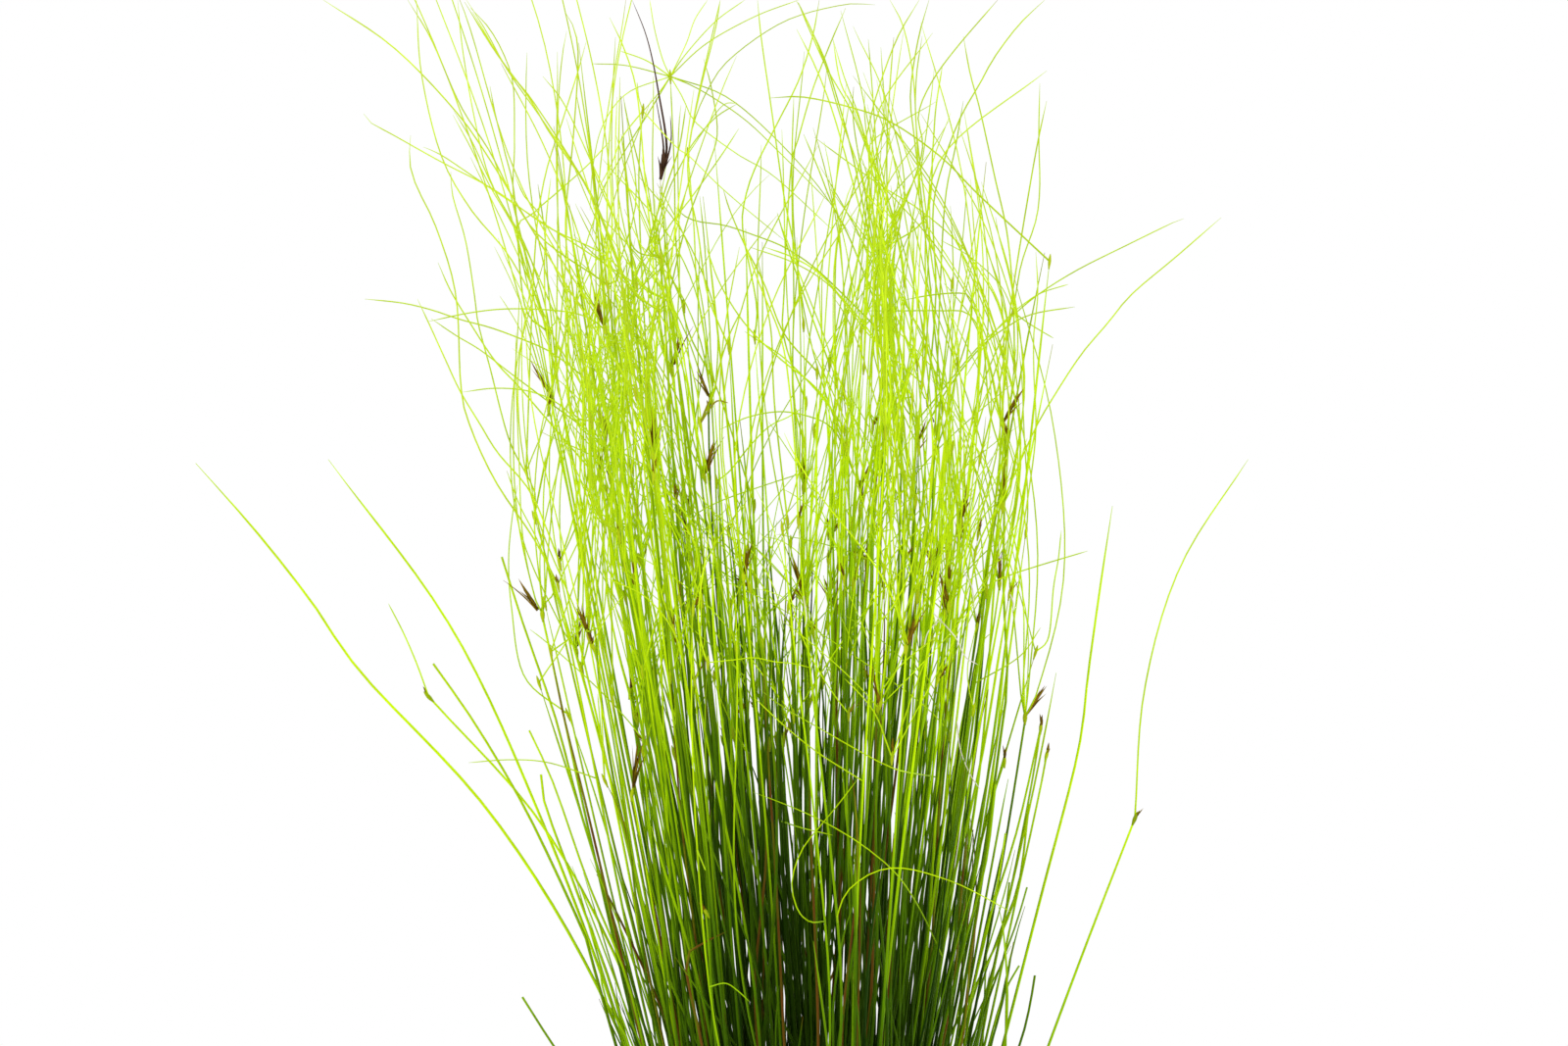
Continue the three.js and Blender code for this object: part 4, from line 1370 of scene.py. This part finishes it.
rays = {k: [] for k in TILLERS}


def plan_ray(k, path, thick=1.0, ripe=0.0, slot=0):
    rays[k].append({"path": path, "thick": thick, "ripe": ripe, "slot": slot})


for pixels in SEEN_RAYS:
    k, path = led_ray(pixels, 30)
    plan_ray(k, path, chance.uniform(1.0, 1.2))
print("Seen rays per whorl:", {k: len(found) for k, found in rays.items() if found})

# %% [markdown]
# ## Sheaves of rays
# In some places the rays lie so close that the photograph shows solid lime. There they gather in a narrow
# waist and fan out above it.

# %% Rays that gather in sheaves
# The column and row of the waist, half its width, the number of rays, and how far they fan out.
SHEAVES = [
    (641, 290, 9, 14, 42),
    (905, 285, 10, 18, 36),
    (947, 235, 9, 9, 40),
    (580, 305, 8, 7, 40),
    (890, 190, 10, 11, 40),
    (663, 400, 10, 14, 36),
    (910, 420, 11, 16, 36),
    (966, 440, 8, 14, 28),
    (622, 450, 10, 14, 36),
    (700, 560, 20, 10, 50),
    (600, 400, 9, 14, 32),
    (612, 520, 16, 12, 45),
    (858, 460, 9, 8, 40),
]
for column, row, half, count, fan in SHEAVES:
    for _ in range(count):
        waist = column + chance.gauss(0, 0.5) * half
        top_row = row - chance.uniform(80, 235)
        pixels = [
            (waist - chance.gauss(0, 0.35) * fan, row + 110),
            (waist, row + chance.uniform(-15, 15)),
            (waist + chance.gauss(0, 0.45) * fan, (row + top_row) / 2),
            (waist + chance.gauss(0, 0.9) * fan, top_row),
        ]
        k, path = led_ray(pixels, 24)
        plan_ray(k, trimmed(path, 0.2), chance.uniform(0.9, 1.1))
print("With the sheaves:", sum(map(len, rays.values())), "rays")

# %% [markdown]
# ## Second whorls
# Four rays end in a whorl of their own, without a spikelet: three stars in the gap between the sprays, and
# one at the right. Each star has its carrier, through the pixels to its hub, and its rays, through theirs.

# %% Stars at the ends of rays
STARS = [
    ([(700, 330), (690, 250), (688, 170), (684, 78)], [
        [(640, 67), (604, 65)],
        [(660, 62), (633, 52)],
        [(640, 95), (615, 128), (605, 170), (602, 215)],
        [(740, 98), (790, 140), (835, 190), (868, 240)],
        [(715, 92), (760, 122), (800, 160), (850, 210)],
        [(700, 45), (709, 20), (722, 0)],
        [(700, 55), (730, 22), (760, 0)],
        [(720, 45), (770, 17), (815, 0)],
        [(676, 60), (668, 30), (663, 0)],
        [(665, 110), (640, 150), (612, 200), (604, 240)],
        [(697, 100), (710, 125), (752, 157), (790, 180), (850, 235)],
        [(672, 95), (655, 115)],
    ]),
    ([(656, 300), (652, 200), (653, 150), (656, 113)], [
        [(635, 140), (625, 165), (612, 190)],
        [(690, 150), (702, 158), (740, 195), (800, 245)],
        [(652, 100), (650, 84)],
    ]),
    ([(712, 300), (708, 230), (702, 157)], [
        [(735, 110), (752, 105)],
        [(708, 125), (722, 92), (745, 60), (800, 22), (860, 5), (893, 5)],
        [(712, 100), (735, 0)],
    ]),
    ([(985, 470), (1000, 400), (1034, 318)], [
        [(1010, 345), (985, 385)],
        [(1060, 300), (1090, 290)],
        [(1020, 290), (990, 262), (960, 245)],
        [(1050, 330), (1075, 345)],
    ]),
]

# %% Plan the stars
STAR_DEPTH = 7
hubs = {k: [] for k in TILLERS}
for carrier, spread_rays in STARS:
    k, path = led_ray(carrier, 30)
    plan_ray(k, path, 1.15)
    hub = path[-1]
    hubs[k].append((hub, heading_of(path)))
    for pixels in spread_rays:
        path = seen_path(pixels, hub, hub[1] + chance.gauss(0, STAR_DEPTH) * MM, 22)
        plan_ray(k, path, chance.uniform(0.75, 1.0))
print("With the stars:", sum(map(len, rays.values())), "rays")

# %% [markdown]
# ## The dead spikelet
# High up, left of the middle, one spikelet died, almost black, with three dead rays that still point up. It
# grows at the end of a thin green ray, and a white root comes out of its foot.

# %% Dead spikelet, its rays and its root
DEAD_FOOT, DEAD_TIP = (674, 183), (680, 150)
DEAD_RAY_FOOT, DEAD_RAY_TIP = 1.9, 0.55
SCALE_SLOT, DEAD_SLOT, ROOT_SLOT = 1, 2, 3
dead_keeper, dead_path = led_ray([(684, 330), (682, 260), DEAD_FOOT], 26)
plan_ray(dead_keeper, dead_path, 0.9)
dead_depth = dead_path[-1][1]
for pixels in (
    [(680, 158), (679, 135), (673, 100), (666, 62), (658, 32), (645, 0)],
    [(677, 160), (676, 140), (669, 99)],
    [(682, 158), (685, 140), (684, 118)],
):
    path = seen_path(pixels, dead_path[-1], dead_depth + chance.gauss(0, 2) * MM, 24)
    plan_ray(dead_keeper, path, np.linspace(DEAD_RAY_FOOT, DEAD_RAY_TIP, len(path)), slot=DEAD_SLOT)
print("The dead spikelet hangs on whorl", dead_keeper)

# %% [markdown]
# ## Rays and roots in front
# Low down, bright rays arch across the dark culms, and white roots hang from some knots. Each starts on
# the stem that the photograph shows at its first pixel, whichever of those stands nearest to the camera.
# An arc then passes in front of the culms that it crosses.

# %% Arcs, dry stalks and roots
ARCS = [
    [(735, 685), (750, 673), (770, 671), (790, 675), (810, 677), (830, 682)],
    [(876, 792), (835, 768), (800, 740), (770, 712)],
    [(950, 790), (915, 785), (880, 768), (840, 745), (800, 722), (775, 703)],
    [(958, 975), (940, 930), (915, 892), (880, 862), (840, 838), (800, 820), (768, 808)],
    [(842, 947), (826, 940), (814, 928), (808, 905), (811, 885), (820, 864), (835, 845), (855, 821),
     (875, 795)],
    [(851, 955), (855, 932), (864, 910), (885, 893), (905, 886), (925, 886), (950, 892), (985, 905),
     (1035, 932)],
    [(800, 835), (820, 845), (850, 852)],
    [(725, 1000), (740, 1003), (752, 1010), (765, 1022)],
    [(705, 880), (720, 888)],
    [(600, 790), (560, 778), (520, 775), (478, 778)],
    [(1000, 690), (1040, 670), (1062, 640)],
    [(800, 640), (790, 600), (765, 560), (730, 540)],
    [(850, 700), (840, 650), (800, 610), (770, 600)],
    [(880, 650), (910, 620), (930, 580), (935, 540)],
    [(700, 700), (690, 650), (660, 610), (620, 590)],
]
DRY_STALKS = [
    [(723, 412), (730, 410), (743, 411)],
    [(723, 412), (721, 415), (724, 409)],
]
ROOTS = [
    [(960, 628), (975, 650), (985, 670), (998, 678)],
    [(960, 630), (947, 645), (943, 660)],
    [(970, 740), (980, 765), (990, 790), (1000, 805)],
    [(1032, 606), (1034, 615), (1033, 625)],
    [(985, 580), (992, 600), (994, 622)],
    [(820, 618), (823, 630), (821, 640)],
]
DEAD_ROOT = [(674, 190), (673, 198)]

# %% Hang them on the nearest stem
FRONT_BIAS = 0.3
ARC_CLEAR = 1.5 * MM
BESIDE_COLUMNS, BESIDE_ROWS = 12, 30
STALK_FORWARD, DEAD_ROOT_FORWARD = 2 * MM, 1 * MM


def carrier_at(column, row):
    """The tiller of the culm at this pixel, and the point where that passes. A nearer culm wins."""
    best = (math.inf, None, None)
    for k in TILLERS:
        for culm in culms[k]:
            columns, rows = pixels_of(culm["path"])
            cost = np.hypot(columns - column, rows - row) + culm["path"][:, 1] / MM * FRONT_BIAS
            if cost.min() < best[0]:
                best = (cost.min(), k, culm["path"][cost.argmin()])
    return best[1], best[2]


def front_at(column, row):
    """How far forward the nearest culm beside this pixel stands."""
    nearest = 0.0
    for k in TILLERS:
        for culm in culms[k]:
            columns, rows = pixels_of(culm["path"])
            beside = (abs(columns - column) < BESIDE_COLUMNS) & (abs(rows - row) < BESIDE_ROWS)
            nearest = min(nearest, culm["path"][beside, 1].min(initial=0.0))
    return nearest


roots = {k: [] for k in TILLERS}
for pixels in ARCS:
    k, start = carrier_at(*pixels[0])
    ahead = start[1] - chance.uniform(4, 9) * MM
    points = [at_pixel(c, r, min(ahead, front_at(c, r) - ARC_CLEAR)) for c, r in pixels[1:]]
    plan_ray(k, smooth_path([start] + points, 22), chance.uniform(0.8, 1.0))
for pixels in DRY_STALKS:
    k, start = carrier_at(*pixels[0])
    plan_ray(k, seen_path(pixels[1:], start, start[1] - STALK_FORWARD, 14), 1.2, ripe=1.0)
for pixels in ROOTS:
    k, start = carrier_at(*pixels[0])
    roots[k].append(seen_path(pixels[1:], start, start[1] - STALK_FORWARD, 16))
roots[dead_keeper].append(seen_path(DEAD_ROOT, dead_path[-1], dead_depth - DEAD_ROOT_FORWARD, 12))
print("Rays in front:", len(ARCS), "and white roots:", len(ROOTS) + 1)

# %% [markdown]
# ## Whorls
# Above each spikelet's foot stands its whorl of rays. They are thinner and paler than culms and arch
# outwards. Each whorl gets one ray more between its traced ones. Free rays set off from many culm ends at
# their own angle and bend in one slow arc, up or over. They cross those of the next whorl and tie the tuft
# into a haze. A culm end that carries rays has a small knot, and some of the lower ones a small spikelet.

# %% Free rays
BOX_MARGIN = 2 * MM
LEFT_COLUMN, RIGHT_COLUMN = 470, 1075
TUFT_LEFT, TUFT_RIGHT = at_pixel(LEFT_COLUMN, 0)[0], at_pixel(RIGHT_COLUMN, 0)[0]


def inside(path):
    """Whether a new ray stays within the CAD model's box and the photograph's tuft."""
    low, high = np.array(cad_low) - BOX_MARGIN, np.array(cad_high) + BOX_MARGIN
    in_box = (path > low).all() and (path < high).all()
    return in_box and TUFT_LEFT < path[-1][0] < TUFT_RIGHT


def free_ray(foot, axis, shortest, longest, widest=40):
    """One slow arc from the foot, so many mm long, within a cone round the axis, or none without room."""
    right, ahead = across_axis(axis)
    turn = chance.uniform(0, 2 * math.pi)
    tilt = math.radians(widest) * chance.random() ** 0.8
    out = right * math.cos(turn) + ahead * math.sin(turn)
    heading = axis * math.cos(tilt) + out * math.sin(tilt)
    reach = chance.uniform(shortest, longest) * MM
    lift = chance.gauss(0.08, 0.2) - 0.2 * math.sin(tilt)
    drift = np.array([chance.gauss(0, 0.17), chance.gauss(0, 0.17), lift])
    t = np.linspace(0, 1, RAY_POINTS)[:, None]
    path = foot + reach * (heading * t + drift * t**2)
    return path if inside(path) and welcome(path) else None


# %% Free rays from the culm ends
FREE_RAYS = 430
FREE_SWAY = 0.02
FREE_SHORTEST, FREE_LONGEST, MAIN_LONGEST = 20, 68, 82
LOWEST_FREE, HIGHEST_FREE = 158 * MM, 228 * MM
low_places = [place for place in whorl_places if LOWEST_FREE < place["end"][2] < HIGHEST_FREE]
for _ in range(FREE_RAYS):
    place = chance.choice(low_places)
    longest = MAIN_LONGEST if place["main"] else FREE_LONGEST
    path = free_ray(place["end"], place["heading"], FREE_SHORTEST, longest)
    if path is not None:
        place["load"] += 1
        path = wander(path, path_length(path) * FREE_SWAY, RAY_WAVES)
        plan_ray(place["k"], path, chance.uniform(0.7, 1.0))
print("All rays beside the traced ones:", sum(map(len, rays.values())))

# %% Parts of a whorl
HUB_RISE = 0.8 * MM
TRACED_RAY_SWAY, NEW_RAY_SWAY = 0.8 * MM, 1.8 * MM
ROOT_THICK = 0.85
# Radii of the knots in mm.
MAIN_KNOT, HEAD_KNOT, STAR_KNOT, END_KNOT = 0.5, 0.4, 0.32, 0.34
SMALL_HEADS, SMALL_HEAD_LEAN = 0.3, 0.3


def add_traced_rays(sheaf, k, hub):
    """The traced rays, drawn in to the knot, and one more between the first of them and another."""
    for path in ray_paths[k]:
        joined_path = even_path(np.vstack([hub, path]), RAY_POINTS + 2)
        add_ray(sheaf, wander(joined_path, TRACED_RAY_SWAY, RAY_WAVES), tone_of())
    other = chance.choice(ray_paths[k])
    lean, reach = chance.uniform(-0.3, 1.2), chance.uniform(0.45, 1.0)
    made = between(ray_paths[k][0], other, lean, reach, RAY_POINTS)
    if welcome(made):
        add_ray(sheaf, wander(made, NEW_RAY_SWAY, RAY_WAVES), tone_of(), chance.uniform(0.75, 1.0))


def add_seen_head(sheaf, foot, tip, scales):
    """A spikelet that the photograph shows, with its knot and up to four short rays."""
    heading = unit(tip - foot)
    knot(sheaf, foot, heading, HEAD_KNOT)
    spikelet(sheaf, foot, tip, scales, slot=SCALE_SLOT, gape=0.2)
    for _ in range(chance.randint(2, 4)):
        path = free_ray(foot, heading, shortest=12, longest=45, widest=45)
        if path is not None and path[0][2] > LOWEST_FREE:
            add_ray(sheaf, path, tone_of(), chance.uniform(0.7, 0.9))


def add_culm_end(sheaf, end, heading):
    """A knot where a culm carries rays, and on some of the lower culms a small spikelet."""
    knot(sheaf, end, heading, END_KNOT)
    if end[2] > HIGHEST_FREE or chance.random() > SMALL_HEADS:
        return
    right, ahead = across_axis(heading)
    aside = heading + SMALL_HEAD_LEAN * (right * chance.gauss(0, 1) + ahead * chance.gauss(0, 1))
    tip = end + aside * chance.uniform(2.2, 4.5) * MM
    spikelet(sheaf, end, tip, chance.randint(2, 4), slot=SCALE_SLOT, half_width=0.3)


# %% Make the whorls
for k in TILLERS:
    sheaf = Sheaf()
    foot, tip = spikelet_axes[k][0], spikelet_axes[k][-1]
    culm_end = culm_paths[k][0][-1]
    axis = unit(np.mean([ray[6] - ray[0] for ray in ray_paths[k]], axis=0))
    hub = culm_end + axis * HUB_RISE
    knot(sheaf, hub, axis, MAIN_KNOT)
    add_traced_rays(sheaf, k, hub)
    for ray in rays[k]:
        add_ray(sheaf, ray["path"], tone_of(), ray["thick"], ray["ripe"], ray["slot"])
    for root in roots[k]:
        add_ray(sheaf, root, chance.random(), ROOT_THICK, slot=ROOT_SLOT)
    spikelet(sheaf, hub, tip, chance.randint(3, 6), slot=SCALE_SLOT)
    needles(sheaf, foot, unit(tip - foot), chance.randint(0, 2), slot=SCALE_SLOT)
    for head in heads[k]:
        add_seen_head(sheaf, head["foot"], head["tip"], head["scales"])
    for star_hub, heading in hubs[k]:
        knot(sheaf, star_hub, heading, STAR_KNOT)
    if k == dead_keeper:
        dead_tip = at_pixel(*DEAD_TIP, dead_depth)
        spikelet(sheaf, dead_path[-1], dead_tip, scales=9, slot=DEAD_SLOT, gape=0.17, half_width=0.52)
    for place in whorl_places:
        if place["k"] == k and not place["main"] and place["load"]:
            add_culm_end(sheaf, place["end"], place["heading"])
    piece = sheaf.piece(f"whorl_{k:02d}", [ray_green, scale_brown, dead_dark, root_white], "umbel")
    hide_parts(f"umbel_{k:02d}")
    triangles[piece.name] = sheaf.triangles
print("All pieces so far:", sum(triangles.values()), "triangles")

# %% [markdown]
# ## Stray culms
# Six culms leave the tuft and arch far out. Some change direction sharply where a ray carries on from a small
# swelling, so the path is cut at its sharpest bend and each part is smoothed by itself.

# %% Grow the stray culms
SHARP = math.radians(14)
STRAY_TONE, STRAY_RAY_TONE = 0.7, 0.8
STRAY_THICK, STRAY_RAY_THICK = 1.2, 1.15
STRAY_KNOT, STRAY_HEAD = 0.45, 2.8 * MM
STRAY_SCALE_SLOT = 2


def bend_at(line):
    """Which point of a line turns most, and by how much."""
    steps = np.diff(line, axis=0)
    steps /= np.linalg.norm(steps, axis=1)[:, None]
    turns = np.arccos(np.clip((steps[:-1] * steps[1:]).sum(1), -1, 1))
    return int(turns.argmax()) + 1, float(turns.max())


for k in STRAYS:
    line = stray_lines[k]
    sheaf = Sheaf()
    at, turn = bend_at(line)
    if turn > SHARP:
        culm, ray = smooth_path(line[:at + 1], CULM_POINTS), smooth_path(line[at:], RAY_POINTS)
        add_culm(sheaf, culm, STRAY_TONE, thick=STRAY_THICK, open_tip=False)
        add_ray(sheaf, ray, STRAY_RAY_TONE, STRAY_RAY_THICK)
        knot(sheaf, culm[-1], heading_of(culm), STRAY_KNOT)
        tip = culm[-1] + heading_of(ray) * STRAY_HEAD
        spikelet(sheaf, culm[-1], tip, scales=3, slot=STRAY_SCALE_SLOT, half_width=0.3)
    else:
        culm = smooth_path(line, CULM_POINTS + 10)
        add_culm(sheaf, culm, STRAY_TONE, thick=STRAY_THICK)
    add_sheath(sheaf, culm)
    piece = sheaf.piece(f"stray_{k:02d}", [culm_green, sheath_brown, scale_brown], "culm")
    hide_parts(f"stray_culm_{k:02d}")
    triangles[piece.name] = sheaf.triangles
    print("Stray", k, "turns", round(math.degrees(turn)), "degrees at most")

# %% [markdown]
# ## The rootstock
# The rootstock is a tough, low mat of brown roots and creeping stems, trimmed flat below. The CAD solid
# gives its form. A fine skin is cast onto that solid, point by point, and pushed in and out by noise, which
# makes an uneven mat and hardly changes its size. Sculpting would give the same look, but it can't be rerun.

# %% Cast a fine skin onto the CAD rootstock
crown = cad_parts["crown"].data
crown_faces = [tuple(face.vertices) for face in crown.polygons]
crown_tree = BVHTree.FromPolygons([corner.co for corner in crown.vertices], crown_faces)
crown_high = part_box("crown")[1]
CROWN_RADIUS, CROWN_TOP = float(crown_high[0]), float(crown_high[2])
HEART_HEIGHT = 0.45
heart = Vector((0, 0, CROWN_TOP * HEART_HEIGHT))
# The rootstock's profile: how far out and how high each share of the way from cut to top lies.
CUT_END, SIDE_END = 0.3, 0.62
PROFILE_SHARES = (0, CUT_END, 0.38, 0.5, SIDE_END, 1)
PROFILE_OUT = (0, 0.9, 1, 1, 0.92, 0)
PROFILE_UP = (0, 0, 0.12, 0.6, 1, 1)


def on_crown(turn, share, lift=0.0):
    """A point on the rootstock. The share runs from the cut's middle over the side to the top's middle."""
    out = np.interp(share, PROFILE_SHARES, PROFILE_OUT)
    up = np.interp(share, PROFILE_SHARES, PROFILE_UP)
    goal = Vector((math.cos(turn) * out * CROWN_RADIUS, math.sin(turn) * out * CROWN_RADIUS, up * CROWN_TOP))
    ahead = (goal - heart).normalized()
    hit = crown_tree.ray_cast(heart, ahead)[0]
    point = np.array(hit + ahead * lift)
    point[2] = max(point[2], 0.0)
    return point


def mat_relief(point):
    """How far the mat stands out here: broad humps, tufts and the grain of single roots."""
    place = Vector(point)
    humps = noise.noise(place * 110) * 0.9
    tufts = noise.noise(place * 380) * 0.55
    grain = noise.noise(Vector((place.x * 1500, place.y * 1500, place.z * 420))) * 0.3
    return (humps + tufts + grain) * MM


# %% Lay the skin
SKIN_TURNS, SKIN_RINGS = 150, 54
RELIEF_START = CUT_END + 0.02
skin_rings = np.zeros((SKIN_RINGS, SKIN_TURNS, 3))
for i, share in enumerate(np.linspace(0.02, 0.98, SKIN_RINGS)):
    for j in range(SKIN_TURNS):
        turn = j / SKIN_TURNS * 2 * math.pi
        lift = mat_relief(on_crown(turn, share)) if share > RELIEF_START else 0.0
        skin_rings[i, j] = on_crown(turn, share, lift)
mat = Sheaf()
mat.skin(skin_rings, (0, 0, 0), on_crown(0, 1))
print("The rootstock's skin is", SKIN_TURNS, "by", SKIN_RINGS, "points")

# %% [markdown]
# ## Roots and old stubs
# Fine roots wrap the mat and run down towards the cut. Creeping stems, as thick as a match, run over it,
# with a ring at each joint. Short brown stubs stand where old culms were trimmed. They all start on the
# skin, because their points are cast onto the CAD solid too.

# %% Fine roots
FINE_ROOTS, CREEPERS, STUBS = 340, 11, 90
MAT_SLOT, STEM_SLOT = 0, 1
for _ in range(FINE_ROOTS):
    turn, share = chance.uniform(0, 2 * math.pi), chance.uniform(0.36, 0.8)
    sweep, drop = chance.gauss(0, 0.45), chance.uniform(0.05, 0.3)
    steps = np.linspace(0, 1, 14)
    bend = chance.gauss(0, 0.12)
    turns = [turn + sweep * t + bend * math.sin(4 * t) for t in steps]
    shares = [max(share - drop * t, CUT_END + 0.01) for t in steps]
    path = np.array([on_crown(*at, 0.35 * MM) for at in zip(turns, shares)])
    radius = chance.uniform(0.12, 0.3)
    widths = np.interp(steps, [0, 0.1, 0.8, 1], [0.5, 1, 0.8, 0.3]) * radius * MM
    path[:, 2] = np.maximum(path[:, 2], radius * MM)
    tone, slot = chance.random(), chance.choice([MAT_SLOT, MAT_SLOT, STEM_SLOT])
    mat.tube(path, widths, sides=6, tone=tone, slot=slot)
print("Fine roots:", FINE_ROOTS)

# %% Creeping stems and stubs
for _ in range(CREEPERS):
    turn, share = chance.uniform(0, 2 * math.pi), chance.uniform(0.5, 0.62)
    sweep = chance.choice([-1, 1]) * chance.uniform(0.4, 0.9)
    steps = np.linspace(0, 1, 40)
    path = np.array([on_crown(turn + sweep * t, share + 0.1 * math.sin(3 * t), 0.5 * MM) for t in steps])
    joints = 1 + 0.22 * (np.sin(steps * 40) > 0.85)
    widths = np.interp(steps, [0, 0.06, 0.9, 1], [0.3, 1, 0.9, 0.2]) * joints * chance.uniform(0.8, 1.15) * MM
    mat.tube(path, widths, sides=12, tone=chance.random(), slot=STEM_SLOT, ribs=0.05)
for _ in range(STUBS):
    turn, share = chance.uniform(0, 2 * math.pi), chance.uniform(0.56, 0.95)
    start = on_crown(turn, share, -0.4 * MM)
    lean = np.array([math.cos(turn), math.sin(turn), 0]) * chance.uniform(0.0, 0.5) * (1 - share) * 2
    reach = chance.uniform(2.5, 11) * MM
    steps = np.linspace(0, 1, 8)
    path = start + (np.array([0, 0, 1]) + lean) * reach * steps[:, None]
    widths = np.interp(steps, [0, 0.2, 0.95, 1], [0.55, 0.42, 0.4, 0.3]) * chance.uniform(0.6, 1.2) * MM
    mat.tube(path, widths, sides=8, tone=chance.random(), slot=STEM_SLOT, slant=0.4 * MM)
piece = mat.piece("rootstock", [mat_brown, bud_brown], "rootstock")
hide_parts("crown")
triangles[piece.name] = mat.triangles
print("Rootstock:", mat.triangles, "triangles; all pieces:", sum(triangles.values()))
